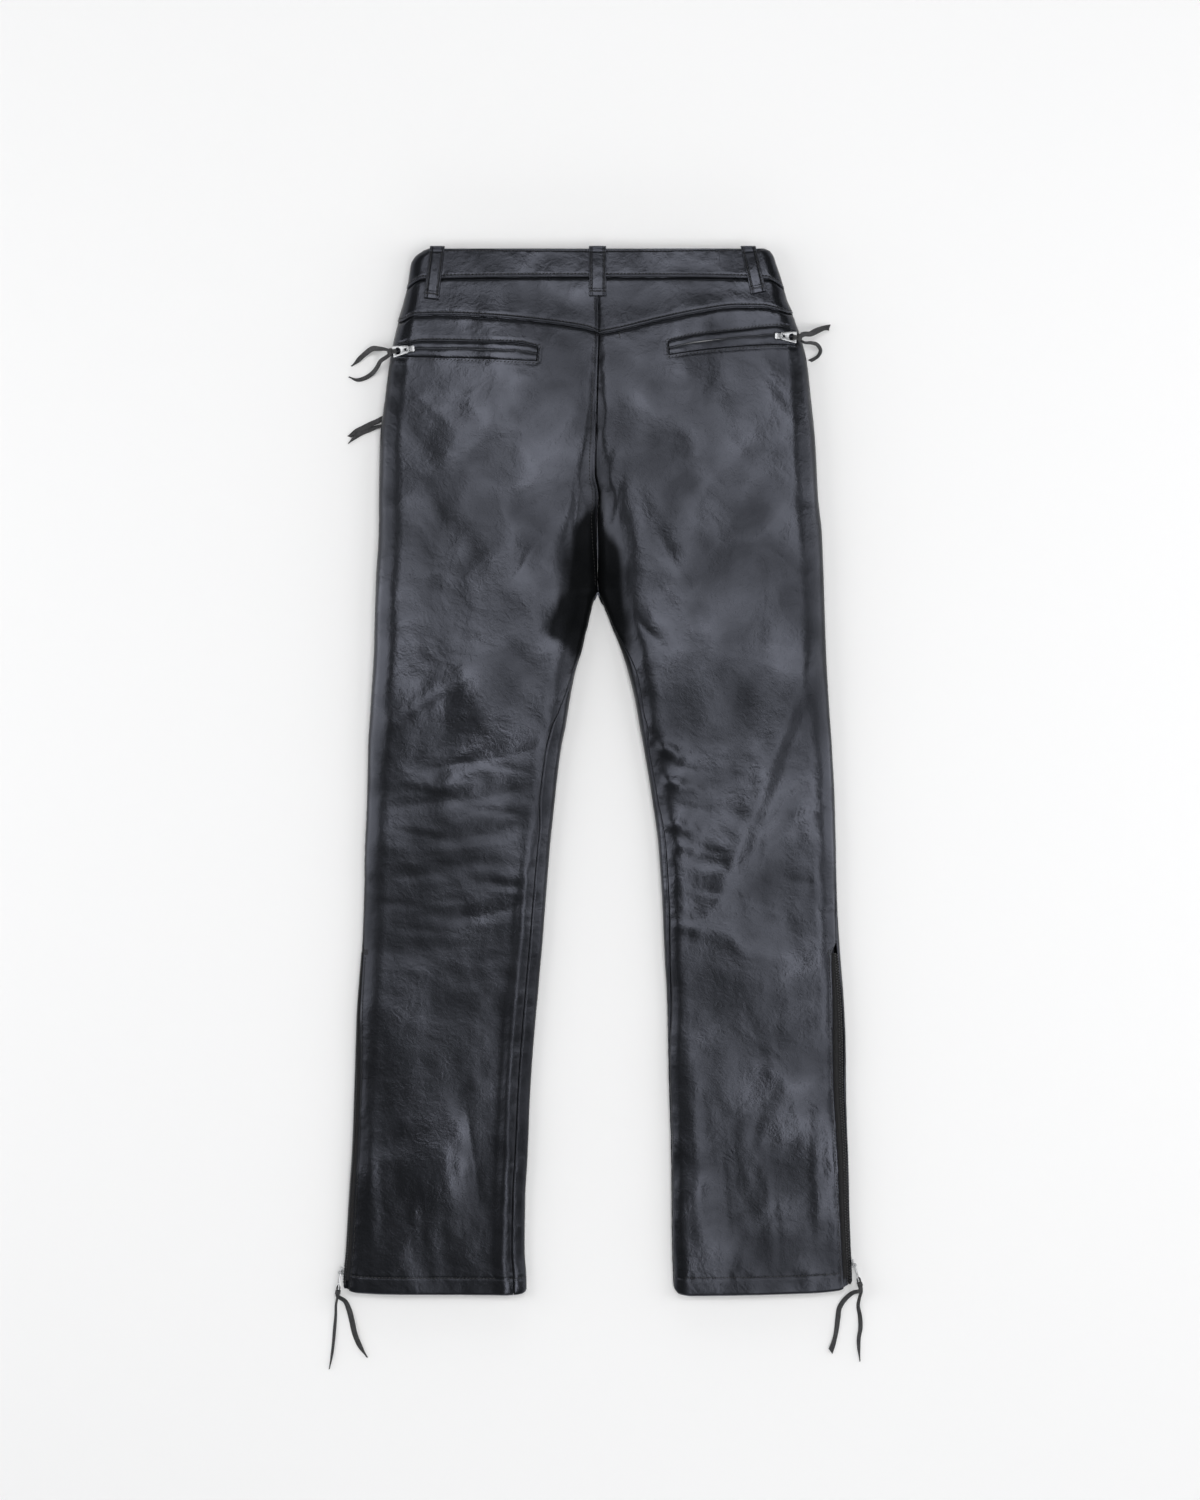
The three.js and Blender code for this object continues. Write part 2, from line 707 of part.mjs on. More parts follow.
const BUTTON = { x: 4, drop: 17, radius: 8.5, high: 1.8, bevelWide: 1.5, bevelHigh: 0.7 };
function addWaistButton() {
  const { radius, high, bevelWide, bevelHigh } = BUTTON;
  const bottom = BAND_LIFT - SEAM_GAP - high;
  const profile = [[0, 0], [radius - bevelWide, 0], [radius, bevelHigh], [radius, high], [0, high]];
  const geometry = new THREE.LatheGeometry(
    profile.map(([r, z]) => new THREE.Vector2(r, z)), 20);
  geometry.rotateX(Math.PI / 2);
  geometry.translate(BUTTON.x, WAIST_Y - BUTTON.drop, bottom);
  addMesh('waist_button', mergeVertices(bareCopy(geometry), 1e-3), NICKEL);
}

function bareCopy(geometry) {
  const bare = geometry.clone();
  bare.deleteAttribute('normal');
  bare.deleteAttribute('uv');
  return bare;
}

// Belt loops: a strap sewn down at the top edge and at its folded foot, bowed between
const LOOPS = [
  ['name', 'xTop', 'xFoot', 'width', 'foot'],
  ['belt_loop_centre', -2.1, -1.9, 18, 50],
  ['belt_loop_left', -169.6, -175.8, 15.4, 52.6],
  ['belt_loop_right', 155.4, 166.2, 15.6, 46.4],
].slice(1).map(([name, xTop, xFoot, width, foot]) => ({ name, xTop, xFoot, width, foot }));
const LOOP_TOP = -2.4;
// The share of the way down, and the heights of the strap's two faces above the band or yoke
const LOOP_PROFILE = [
  ['share', 'under', 'over'],
  [0, -2.2, 2.2],
  [0.02, -2.2, 3.4],
  [0.026, 0.35, 3.5],
  [0.25, 1.6, 3.8],
  [0.5, 1.9, 4.1],
  [0.72, 1.7, 3.9],
  [0.9, 1.0, 3.5],
  [0.925, 0.35, 4.3],
  [1, 0.35, 4.0],
].slice(1).map(([share, under, over]) => ({ share, under, over }));

function topHeight(x, drop) {
  const side = x < CENTRE_SEAM.x(drop) ? 'left' : 'right';
  const size = sizesAt(side, drop);
  const inset = Math.abs(size.outer - x);
  if (inset < size.outerSlope) {
    return sectionPoint(size, insetPlace(side, inset, drop))[1];
  }
  const start = size.outer - size.sign * size.outerSlope;
  const end = size.inner + size.sign * size.innerSlope;
  return sectionPoint(size, 3 + clamp01((x - start) / (end - start)))[1];
}

function addBackLoop(loop) {
  const halves = [-0.5, 0.5];
  const slope = (loop.xFoot - loop.xTop) / (loop.foot - LOOP_TOP);
  const geometry = wallGeometry(halves.length, LOOP_PROFILE.length, (column, row, depth) => {
    const { share, under, over } = LOOP_PROFILE[row];
    const drop = mix(LOOP_TOP, loop.foot, share);
    const middle = mix(loop.xTop, loop.xFoot, share);
    const x = middle + halves[column] * loop.width;
    const onCloth = Math.max(drop, 0);
    const z = Math.max(topHeight(middle, onCloth), topHeight(x, onCloth));
    const skew = slope * smooth(0, 0.5, share);
    return new THREE.Vector3(x, WAIST_Y - drop + skew * halves[column] * loop.width,
      z + BAND_PROUD + (depth === 0 ? over : under));
  });
  addMesh(loop.name, geometry, LEATHER_BLACK);
}

const FRONT_LOOPS = [
  ['name', 'x', 'width', 'foot'],
  ['belt_loop_front_left', -98, 16, 50],
  ['belt_loop_front_right', 96, 16, 50],
].slice(1).map(([name, x, width, foot]) => ({ name, x, width, foot }));

function addFrontLoop(loop) {
  const length = loop.foot - LOOP_TOP;
  const high = BAND_LIFT - SEAM_GAP;
  const geometry = new THREE.BoxGeometry(loop.width, length, high);
  geometry.translate(loop.x, WAIST_Y - (loop.foot + LOOP_TOP) / 2, high / 2);
  addMesh(loop.name, geometry, LEATHER_BLACK);
}

// A place in a pocket's window: along from its outer end to its inner one, across from its
// top edge to its bottom edge
function windowPoint(side, along, across, offset) {
  const [outer, inner] = windowEnds(side);
  const q = backPlace(side, mix(outer, inner, along), NOMINAL_DROP);
  const x = topX(side, q);
  const drop = mix(POCKETS[side].top(x), POCKETS[side].bottom(x), across);
  return wallPoint(side, q, drop, offset);
}

function slitHalf(side, along) {
  const gape = side === 'right' ? GAPE_HALF * Math.exp(-(((along - 0.8) / 0.12) ** 2)) : 0;
  return SLIT_HALF + gape;
}

const WELT_THICK = 2.4;
// A welt's cross section: the share of the way from the window's edge to the slit, and how
// far its outer face lies under the panel's
const WELT_SECTION = [
  { share: 0, low: -1.1 },
  { share: 0.3, low: -0.35 },
  { share: 0.75, low: -0.3 },
  { share: 1, low: -1.2 },
];
const WELT_EDGE_GAP = SEAM_GAP + 0.05;
const WELT_END_SHARE = 0.004;
function windowSteps(side) {
  const [outer, inner] = windowEnds(side);
  return backColumns(side).filter((share) => share >= outer && share <= inner)
    .map((share) => (share - outer) / (inner - outer));
}

function addWelt(side, which) {
  const steps = windowSteps(side);
  const geometry = wallGeometry(steps.length, WELT_SECTION.length, (column, row, depth) => {
    const along = Math.min(1 - WELT_END_SHARE, Math.max(WELT_END_SHARE, steps[column]));
    const q = backPlace(side, mix(...windowEnds(side), along), NOMINAL_DROP);
    const x = topX(side, q);
    const high = POCKETS[side].bottom(x) - POCKETS[side].top(x);
    const slit = slitHalf(side, along) / high;
    const edge = WELT_EDGE_GAP / high;
    const { share, low } = WELT_SECTION[row];
    const across = which === 'upper'
      ? mix(edge, SLIT_SHARE - slit, share)
      : mix(1 - edge, SLIT_SHARE + slit, share);
    return windowPoint(side, along, across, depth === 0 ? low : -WELT_THICK);
  });
  addMesh(`pocket_welt_${which}_${side}`, geometry, LEATHER_BLACK);
}

const TAPE = { thick: 0.8, across: [-0.1, 0.5, 1.1], start: -0.01, end: 1.01 };
function addPocketTape(side) {
  const steps = windowSteps(side);
  const geometry = wallGeometry(steps.length, TAPE.across.length, (column, row, depth) => (
    windowPoint(side, mix(TAPE.start, TAPE.end, steps[column]), TAPE.across[row],
      -WELT_THICK - SEAM_GAP - (depth === 0 ? 0 : TAPE.thick))));
  addMesh(`pocket_zip_${side}`, geometry, TAPE_BLACK);
}

// The leg zips: a strip tucked under both edges, its chain raised between them
const LEG_ZIP_STEPS = [ZIP_TOP, 760, 800, 850, 900, 950, 1000, 1045, 1074, ZIP_END];
const LEG_ZIP = { tuck: 2.6, chainGap: 0.8, chainSlope: 0.6, low: LEATHER + 0.7, crown: 0.1,
  back: LEATHER + 1.3 };
function legZipPlaces(side, drop) {
  const front = sidePlace(side, drop, 'Front');
  const back = sidePlace(side, drop, 'Back');
  const run = surfacePoint(side, back, drop).distanceTo(surfacePoint(side, front, drop));
  const { tuck, chainGap, chainSlope } = LEG_ZIP;
  const insets = [-tuck, chainGap, chainGap + chainSlope]
    .map((inset) => (inset * (back - front)) / run);
  return [...insets.map((inset) => front + inset),
    ...insets.reverse().map((inset) => back - inset)];
}

function addLegZip(side) {
  const { low, crown, back } = LEG_ZIP;
  const depths = [low, low, crown, crown, low, low];
  const geometry = wallGeometry(depths.length, LEG_ZIP_STEPS.length, (column, row, depth) => {
    const level = LEG_ZIP_STEPS[row];
    const q = legZipPlaces(side, level)[column];
    const drop = hemDrop(side, level, q);
    return wallPoint(side, q, drop, depth === 0 ? -depths[column] : -back);
  });
  addMesh(`leg_zip_${side}`, geometry, TAPE_BLACK);
}

// Zip pulls. A pull's frame: its origin is the pivot, +X runs along the tab, +Z stands off
// the cloth. The slider's body lies under the pivot.
const TAB = { length: 17.5, nearWidth: 7.6, farWidth: 12.4, thick: 1.1, bar: 0.5,
  nearCorner: 1, farCorner: 2 };
const NEAR_HOLE = { end: 4.6, half: 1.6, corner: 0.8 };
const FAR_HOLE = { centre: 11.9, long: 3.3, wide: 3.5 };
const EYE = { inner: 1.2, outer: 2.2, wide: 2.0 };
const BODY = { length: 8.6, wide: 6.6, high: 2, shift: -1.8 };

// A closed outline from the points on its lower half, from its near to its far end
function mirroredOutline(lower) {
  const upper = lower.map(([x, y]) => [x, -y]).reverse();
  return new THREE.Shape([...lower, ...upper].map(([x, y]) => new THREE.Vector2(x, y)));
}

function tabGeometry() {
  const { length, thick, bar, nearCorner, farCorner } = TAB;
  const [near, far] = [TAB.nearWidth / 2, TAB.farWidth / 2];
  const shape = mirroredOutline([[-bar, -near + nearCorner], [nearCorner - bar, -near],
    [length - farCorner, -far], [length, -far + farCorner]]);
  const { end, half, corner } = NEAR_HOLE;
  const nearHole = new THREE.Path([[bar, -half], [bar, half], [end - corner, half],
    [end, half - corner], [end, corner - half], [end - corner, -half],
  ].map(([x, y]) => new THREE.Vector2(x, y)));
  const farHole = new THREE.Path();
  farHole.absellipse(FAR_HOLE.centre, 0, FAR_HOLE.long, FAR_HOLE.wide, 0, Math.PI * 2, true);
  shape.holes.push(nearHole, farHole);
  const geometry = new THREE.ExtrudeGeometry(shape,
    { depth: thick, bevelEnabled: false, curveSegments: 3 });
  geometry.translate(0, 0, -thick / 2);
  return mergeVertices(bareCopy(geometry), 1e-4);
}

function sliderGeometry() {
  const { length, high, shift } = BODY;
  const [end, side] = [length / 2, BODY.wide / 2];
  const plan = mirroredOutline([[-end, -side + 0.8], [-end + 1.6, -side],
    [end - 2, -side + 0.6], [end, -side + 1.8]]);
  const body = new THREE.ExtrudeGeometry(plan, { depth: high, bevelEnabled: false });
  body.translate(shift, 0, -EYE.inner - high);
  const ring = new THREE.Shape();
  ring.absarc(0, 0, EYE.outer, 0, Math.PI * 2, false);
  const eye = new THREE.Path();
  eye.absarc(0, 0, EYE.inner, 0, Math.PI * 2, true);
  ring.holes.push(eye);
  const bail = new THREE.ExtrudeGeometry(ring,
    { depth: EYE.wide, bevelEnabled: false, curveSegments: 6 });
  bail.translate(0, 0, -EYE.wide / 2);
  bail.rotateX(Math.PI / 2);
  return fromSolid(toSolid(body).add(toSolid(bail)));
}

function frameMatrix(origin, along, normal) {
  const x = along.clone().normalize();
  const y = normal.clone().cross(x).normalize();
  const z = x.clone().cross(y);
  return new THREE.Matrix4().makeBasis(x, y, z).setPosition(origin);
}

const vector = (x, drop, z) => new THREE.Vector3(x, WAIST_Y - drop, z);

// Each pull: its pivot, the direction of its tab and slider (x, down the garment, up), and
// the way its face looks
const PULLS = {
  back_pocket_left: {
    pivot: [-199.5, 106.4, 31.4], tab: [-1, 0.14, -0.34], body: [-1, 0.1, -0.17], face: [0, 0, 1],
  },
  back_pocket_right: {
    pivot: [189.5, 92.6, 31.0], tab: [1, 0.06, -0.34], body: [1, 0.02, -0.17], face: [0, 0, 1],
  },
  leg_left: {
    pivot: [-272.4, 1074, 8.4], tab: [-0.12, 1, 0], body: [0.02, 1, 0], face: [-1, 0, 0.12],
  },
  leg_right: {
    pivot: [267.9, 1066, 9.2], tab: [0.28, 1, 0], body: [0.02, 1, 0], face: [1, 0, 0.12],
  },
  front_pocket_left: {
    pivot: [-203, 169.2, 2.45], tab: [-1, 0.44, 0], body: [-1, 0.44, 0], face: [0, 0, -1],
  },
  front_pocket_right: {
    pivot: [199.5, 169.2, 2.45], tab: [1, 0.44, 0], body: [1, 0.44, 0], face: [0, 0, -1],
  },
};

const direction = ([x, down, up]) => new THREE.Vector3(x, -down, up);

function addPull(name) {
  const pull = PULLS[name];
  const origin = vector(...pull.pivot);
  const face = direction(pull.face);
  addMesh(`slider_${name}`,
    sliderGeometry().applyMatrix4(frameMatrix(origin, direction(pull.body), face)), NICKEL);
  addMesh(`tab_${name}`,
    tabGeometry().applyMatrix4(frameMatrix(origin, direction(pull.tab), face)), NICKEL);
}

// The lace's knot round the tab's far end
const KNOT = { length: 5.2, wide: 8.6, high: 5.4 };
const FLAT_KNOT = { length: 4.4, wide: 8, high: 3.6 };
const KNOT_CLEARANCE = 0.06;
const ROOT_LENGTH = 3.2;
function addKnot(name, size) {
  const pull = PULLS[name];
  const geometry = new THREE.SphereGeometry(0.5, 10, 6);
  geometry.scale(size.length, size.wide, size.high);
  geometry.translate(TAB.length + SEAM_GAP + size.length / 2, 0, 0);
  const matrix = frameMatrix(vector(...pull.pivot), direction(pull.tab), direction(pull.face));
  addMesh(`knot_${name}`, mergeVertices(bareCopy(geometry), 1e-3).applyMatrix4(matrix),
    LACE_BLACK);
}

// The lace tails: the angle round the knot, in degrees, at which each comes out, and then
// x, drop and height of points along it
const TAILS = {
  lace_back_pocket_left_1: { angle: -38, route: [
    [-231.5, 104.4, 17.5], [-238.5, 103.8, 11], [-245.5, 107.6, 5], [-251.5, 112.4, 2.2],
    [-256.8, 117.6, 1.6], [-261.2, 121.2, 1.6],
  ] },
  lace_back_pocket_left_2: { angle: 38, route: [
    [-229.6, 117.4, 15.5], [-234, 123.4, 8], [-239.8, 129.4, 3.4], [-246.6, 133.4, 1.8],
    [-255, 135.6, 1.6], [-263.8, 132.2, 1.6],
  ] },
  lace_back_pocket_right_1: { angle: 38, route: [
    [221, 89, 18.8], [226, 86.4, 15.6], [231, 83.8, 12.5], [236, 81.8, 9.5],
    [241.6, 81, 7],
  ] },
  lace_back_pocket_right_2: { angle: -38, route: [
    [222.4, 98.2, 16], [228.6, 99.4, 10], [232.4, 105.2, 5], [230.2, 110.2, 2.4],
    [224.6, 114, 1.6], [221.4, 115.6, 1.6],
  ] },
  lace_front_pocket_left_1: { angle: 36, route: [
    [-233, 178.6, 1.6], [-241, 182.2, 1.6], [-249, 186.4, 1.6], [-256.6, 190.2, 1.6],
    [-263.4, 195.4, 1.6],
  ] },
  lace_front_pocket_left_2: { angle: -36, route: [
    [-233, 184.6, 1.6], [-241.2, 187.6, 1.6], [-249.2, 190.8, 1.6], [-257, 195.6, 1.6],
    [-264.6, 202.6, 1.6],
  ] },
  lace_leg_left_1: { angle: 8, route: [
    [-277, 1108, 5], [-277.6, 1120, 1.8], [-278.8, 1134, 1.6], [-280.2, 1150, 1.6],
    [-282, 1164, 1.6], [-284.4, 1176.6, 1.6],
  ] },
  lace_leg_left_2: { angle: -48, route: [
    [-267.6, 1105, 3.2], [-263.6, 1114, 1.8], [-260.6, 1126, 1.6], [-257.4, 1140, 1.6],
    [-252, 1152.6, 1.6], [-244.4, 1164.4, 1.6],
  ] },
  lace_leg_right_1: { angle: -48, route: [
    [265.4, 1096.6, 3.6], [257.8, 1103.6, 2.2], [252.6, 1112, 1.8], [250.8, 1124, 1.6],
    [249, 1138, 1.6], [246.4, 1149, 1.6], [243.2, 1158, 1.6],
  ] },
  lace_leg_right_2: { angle: 8, route: [
    [273.4, 1101, 5.2], [272.2, 1110, 2], [274, 1120, 1.6], [274.8, 1132, 1.6],
    [272.8, 1146, 1.6], [273.2, 1158, 1.6], [274.2, 1168.6, 1.6],
  ] },
};

// A tail's first two points stand on the knot, square to its surface
function tailRoots(name) {
  const pullName = name.slice('lace_'.length, -2);
  const pull = PULLS[pullName];
  const size = pullName.startsWith('front') ? FLAT_KNOT : KNOT;
  const angle = THREE.MathUtils.degToRad(TAILS[name].angle);
  const onKnot = new THREE.Vector3(size.length / 2 * Math.cos(angle),
    size.wide / 2 * Math.sin(angle), 0);
  const outward = new THREE.Vector3(Math.cos(angle) / size.length, Math.sin(angle) / size.wide,
    0).normalize();
  const middle = TAB.length + SEAM_GAP + size.length / 2;
  const matrix = frameMatrix(vector(...pull.pivot), direction(pull.tab), direction(pull.face));
  return [KNOT_CLEARANCE, ROOT_LENGTH].map((reach) => onKnot.clone()
    .addScaledVector(outward, reach).add(new THREE.Vector3(middle, 0, 0)).applyMatrix4(matrix));
}

function addTail(name) {
  const route = new THREE.CatmullRomCurve3([...tailRoots(name),
    ...TAILS[name].route.map((point) => vector(...point))]);
  const section = new THREE.Shape();
  section.absarc(0, 0, LACE_CORE / 2, 0, Math.PI * 2, false);
  const steps = Math.round(route.getLength() / (LACE_CORE * 2));
  const geometry = new THREE.ExtrudeGeometry(section,
    { steps, extrudePath: route, curveSegments: 4, bevelEnabled: false });
  addMesh(name, mergeVertices(bareCopy(geometry), 1e-3), LACE_BLACK);
}

// The slanted zip pockets in the fronts, pressed in by the surface below
const FRONT_POCKET = { near: -26, far: 118, wide: 14, slope: 0.44 };
function frontPocketFrame(side) {
  const pull = PULLS[`front_pocket_${side}`];
  const inward = direction([signOf(side) * -1, -FRONT_POCKET.slope, 0]);
  return frameMatrix(vector(pull.pivot[0], pull.pivot[1], 0), inward, new THREE.Vector3(0, 0, 1));
}

function boxBetween(low, high) {
  const size = high.map((value, i) => value - low[i]);
  const geometry = new THREE.BoxGeometry(...size);
  geometry.translate(...high.map((value, i) => (value + low[i]) / 2));
  return geometry;
}

function addFront(side) {
  const { near, far, wide } = FRONT_POCKET;
  const [below, above] = [-1, 7];
  const cutter = boxBetween([near, -wide / 2, below], [far, wide / 2, above])
    .applyMatrix4(frontPocketFrame(side));
  const solid = toSolid(frontGeometry(side)).subtract(toSolid(cutter));
  addMesh(`front_panel_${side}`, fromSolid(solid), LEATHER_BLACK);
}

// The zip's strip is sewn inside the front and arches over the slider
const FRONT_TAPE = { half: 11, archFoot: 5.2, archHalf: 4, high: 6, thick: 0.9, ends: [-5, 60, 121] };
function addFrontTape(side) {
  const low = LEATHER + SEAM_GAP;
  const { half, archFoot, archHalf, high, thick, ends } = FRONT_TAPE;
  const profile = [[-half, low], [-archFoot, low], [-archHalf, high], [archHalf, high],
    [archFoot, low], [half, low]];
  const geometry = wallGeometry(profile.length, ends.length, (column, row, depth) => {
    const [y, z] = profile[column];
    return new THREE.Vector3(ends[row], y, z + (depth === 0 ? 0 : thick));
  });
  addMesh(`front_pocket_zip_${side}`, geometry.applyMatrix4(frontPocketFrame(side)),
    TAPE_BLACK);
}

for (const side of ['left', 'right']) {
  addWaistband(side);
  addYoke(side);
  addBack(side);
  addFront(side);
  addWelt(side, 'upper');
  addWelt(side, 'lower');
  addPocketTape(side);
  addLegZip(side);
  addFrontTape(side);
}
addFlyShield();
addWaistButton();
LOOPS.forEach(addBackLoop);
FRONT_LOOPS.forEach(addFrontLoop);
Object.keys(PULLS).forEach(addPull);
const TIED_PULLS = Object.keys(PULLS).filter((name) => name !== 'front_pocket_right');
TIED_PULLS.forEach((name) => addKnot(name, name.startsWith('front') ? FLAT_KNOT : KNOT));
Object.keys(TAILS).forEach(addTail);

export default group;
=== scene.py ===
"""Leather trousers laid flat on their front, seen from the back.

The tables are in millimetres; "drop" is the distance down the garment from the waistband's
top edge. Meshes are made in metres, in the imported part's frame. A place on the section
through a leg is q: 0 to 1 runs out along the underside, 1 to 3 round the outer edge, 3 to 4
in over the top, 4 to 5 down the inner slope and 5 to 6 under the inner edge.
"""

import math

import bmesh
import bpy
import numpy as np
from mathutils import Matrix, Vector


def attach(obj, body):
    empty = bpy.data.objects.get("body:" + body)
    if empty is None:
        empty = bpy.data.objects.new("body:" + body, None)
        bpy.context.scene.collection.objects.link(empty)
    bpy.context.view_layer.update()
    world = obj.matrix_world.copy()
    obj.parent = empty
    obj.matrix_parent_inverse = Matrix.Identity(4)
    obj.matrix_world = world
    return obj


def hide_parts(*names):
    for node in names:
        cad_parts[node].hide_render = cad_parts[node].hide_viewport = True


MM = 0.001
WAIST_Y = 547.8
CENTRE_X = 0.94
LEATHER = 1.4
SEAM_GAP = 0.3
HALF_GAP = SEAM_GAP / 2
BAND_THICK = 2.4
BAND_PROUD = 1.2
BAND_LIFT = 2.6
CROTCH_DROP = 358
LOW_CORNER = 328
HEM_TURN = 18
HEM_THICK = 2.4
HEM_LEVEL = 1096
HEM_BLEND = 70
NOMINAL_DROP = 100
SEAT_DROP = 150
SLIT_SHARE = 0.44
STITCH_PITCH = 3.7
# Places down the leg: the rows close up for the hem, and the leg zip's rows start
HEM_ROWS_START = 1068
HEM_STITCH = 17.5
ZIP_TACK = 737
ZIP_STITCH_TOP = 742
ZIP_OPENS = (728, 742)
# How far in from the folded edge the left half is sewn over the right one
CENTRE_STITCH = 2.7
SIDES = ("left", "right")
SIGN = {"left": -1, "right": 1}
BODY = "trousers"


def mix(a, b, t):
    return a + (b - a) * t


def smooth(low, high, value):
    t = np.clip((value - low) / (high - low), 0, 1)
    return t * t * (3 - 2 * t)


def bell(value, width):
    return np.exp(-((value / width) ** 2))


def hermite(value, slopes, i, t, span):
    """The cubic between value i and the next one."""
    rest = 1 - t
    return (value[i] * (1 + 2 * t) * rest * rest + value[i + 1] * t * t * (3 - 2 * t)
            + span * (slopes[i] * t * rest * rest - slopes[i + 1] * t * t * rest))


def curve_through(at, value):
    """A smooth, monotone curve through a table's column."""
    at, value = np.array(at, float), np.array(value, float)
    step = np.diff(value) / np.diff(at)
    slopes = np.concatenate([step[:1], step])
    before, after = step[:-1], step[1:]
    same = before * after > 0
    slopes[1:-1] = np.where(same, 2 * before * after / np.where(same, before + after, 1), 0)

    def look(where):
        where = np.clip(where, at[0], at[-1])
        i = np.clip(np.searchsorted(at, where) - 1, 0, len(at) - 2)
        span = at[i + 1] - at[i]
        return hermite(value, slopes, i, (where - at[i]) / span, span)

    return look


def table(names, rows):
    """The first column is looked up; every other column becomes a curve of it."""
    columns = list(zip(*rows))
    return {
        name: curve_through(columns[0], column)
        for name, column in zip(names.split()[1:], columns[1:])
    }


OUTLINE = table("drop left right", [
    (0, -181, 175), (3, -187, 180), (8, -194, 183.2), (15, -198, 185.4), (27, -200, 189.5),
    (36, -201.2, 192.3), (54, -205.5, 197.3), (75, -211, 205.3), (95, -216, 212.2),
    (116, -220, 217.4), (158, -225.2, 222.1), (200, -230.5, 226.3), (262, -231.5, 229.6),
    (295, -231.7, 233.2), (346, -234.7, 235.3), (420, -236.8, 237.8), (472, -239.9, 240.6),
    (525, -243, 244.2), (578, -244.2, 247), (630, -246.2, 248), (683, -247.4, 249.6),
    (735, -249.5, 252.6), (788, -253.4, 256.6), (840, -255.8, 258.7), (893, -257.7, 259.4),
    (945, -259.3, 260.8), (998, -263, 262.2), (1050, -266.3, 264.2), (1080, -268.9, 265.6),
    (1099, -269.3, 266.2),
])
CENTRE_SEAM = table("drop x", [
    (0, -1.6), (60, -1.2), (95, -1.1), (136, -2.3), (190, -3.6), (236, -4.6), (258, -1.0),
    (287, -2.6), (358, -1.5),
])["x"]
INNER_EDGE = table("drop left right", [
    (358, -1.5, -1.5), (367, -5.6, 1.6), (394, -12.1, 12.1), (420, -18.4, 22.6),
    (446, -26, 30.6), (472, -31, 37), (499, -35.4, 41.8), (525, -40.4, 46.6),
    (578, -46.8, 55.2), (630, -52, 62.2), (683, -56.2, 65.6), (735, -60.5, 67.9),
    (788, -65, 70.7), (840, -69.6, 72), (893, -73, 73.2), (945, -75.3, 75),
    (998, -77.8, 75.7), (1050, -78.3, 76.3), (1080, -76.7, 77.2), (1099, -76.5, 78),
])
SHAPE = table("drop crown outer_slope inner_slope inner_z inner_foot", [
    (0, 21.5, 12, 5, 20.6, 0), (36, 25, 15, 6, 23.6, 0), (75, 27.5, 18, 7, 25.8, 0),
    (116, 30, 21, 9, 27.2, 0), (200, 32, 25, 13, 27.0, 0), (262, 32, 27, 20, 22, 0),
    (305, 32, 28, 27, 14.5, 0), (340, 31.5, 28, 30, 8.5, 0), (358, 31, 28, 30, 6.2, 0),
    (394, 30, 28, 30, 7.5, 4), (446, 29, 28, 29, 10.5, 7), (525, 25.5, 27, 27, 10.5, 8),
    (630, 23, 26, 26, 9.6, 7.5), (788, 20, 25, 24, 8.2, 6.5), (945, 18, 23, 21, 7.4, 6),
    (1099, 14, 18, 16, 5.8, 4.5),
])
INSEAM = table("drop left right", [
    (358, 0, 0), (400, 0.6, 2), (446, 2.4, 8.5), (486, 10, 6.5), (500, 14, 8),
    (526, 15.5, 5), (577, 16, 5.5), (610, 12.5, 7.5), (683, 13, 6.5), (788, 13, 3.2),
    (850, 12.5, 0.4), (1099, 13.5, 0),
])
SIDE_SEAM = table("drop left_back left_front right_back right_front", [
    (600, 0, 0, 0, 0), (700, 0, 0, 2.2, 2.2), (726, 0.3, 0.3, 3.4, 3.4),
    (731, 0.8, 0.2, 5.5, 3.1), (737, 1.4, 0, 9, 2.8), (790, 2.8, 0, 11.6, 2.4),
    (840, 4, 0, 13.4, 2.2), (945, 4.8, 0, 11, 1.4), (1060, 5.4, 0, 9.4, 1.2),
    (1099, 5.4, 0, 9.2, 1.2),
])
HEM = table("across left right", [
    (0, 1091, 1085), (0.08, 1095, 1092.5), (0.28, 1096.5, 1095.5), (0.9, 1097, 1098),
    (0.97, 1096, 1096), (1, 1093.5, 1090.5),
])
YOKE_SEAM = {
    "left": table("x drop", [
        (-212, 75.8), (-198, 70), (-166, 69.3), (-118, 71.4), (-70, 75.6), (-37, 79.8),
        (-13, 84), (-2, 88.2),
    ])["drop"],
    "right": table("x drop", [
        (-2, 89.5), (12, 87.2), (67, 74.6), (110, 66.4), (154, 61), (180, 61.2), (206, 67),
    ])["drop"],
}
POCKETS = {
    "left": {"outer": -211, "inner": -64, **table("x top bottom", [
        (-211, 102.3, 113.2), (-182, 97.5, 114.2), (-134, 98.3, 115.3), (-86, 99.5, 117.4),
        (-64, 104, 118.4),
    ])},
    "right": {"outer": 205, "inner": 72, **table("x top bottom", [
        (72, 98.2, 111.8), (101, 91.7, 107.6), (154, 85.8, 102.3), (188, 82.4, 100.8),
        (205, 84.6, 101.4),
    ])},
}

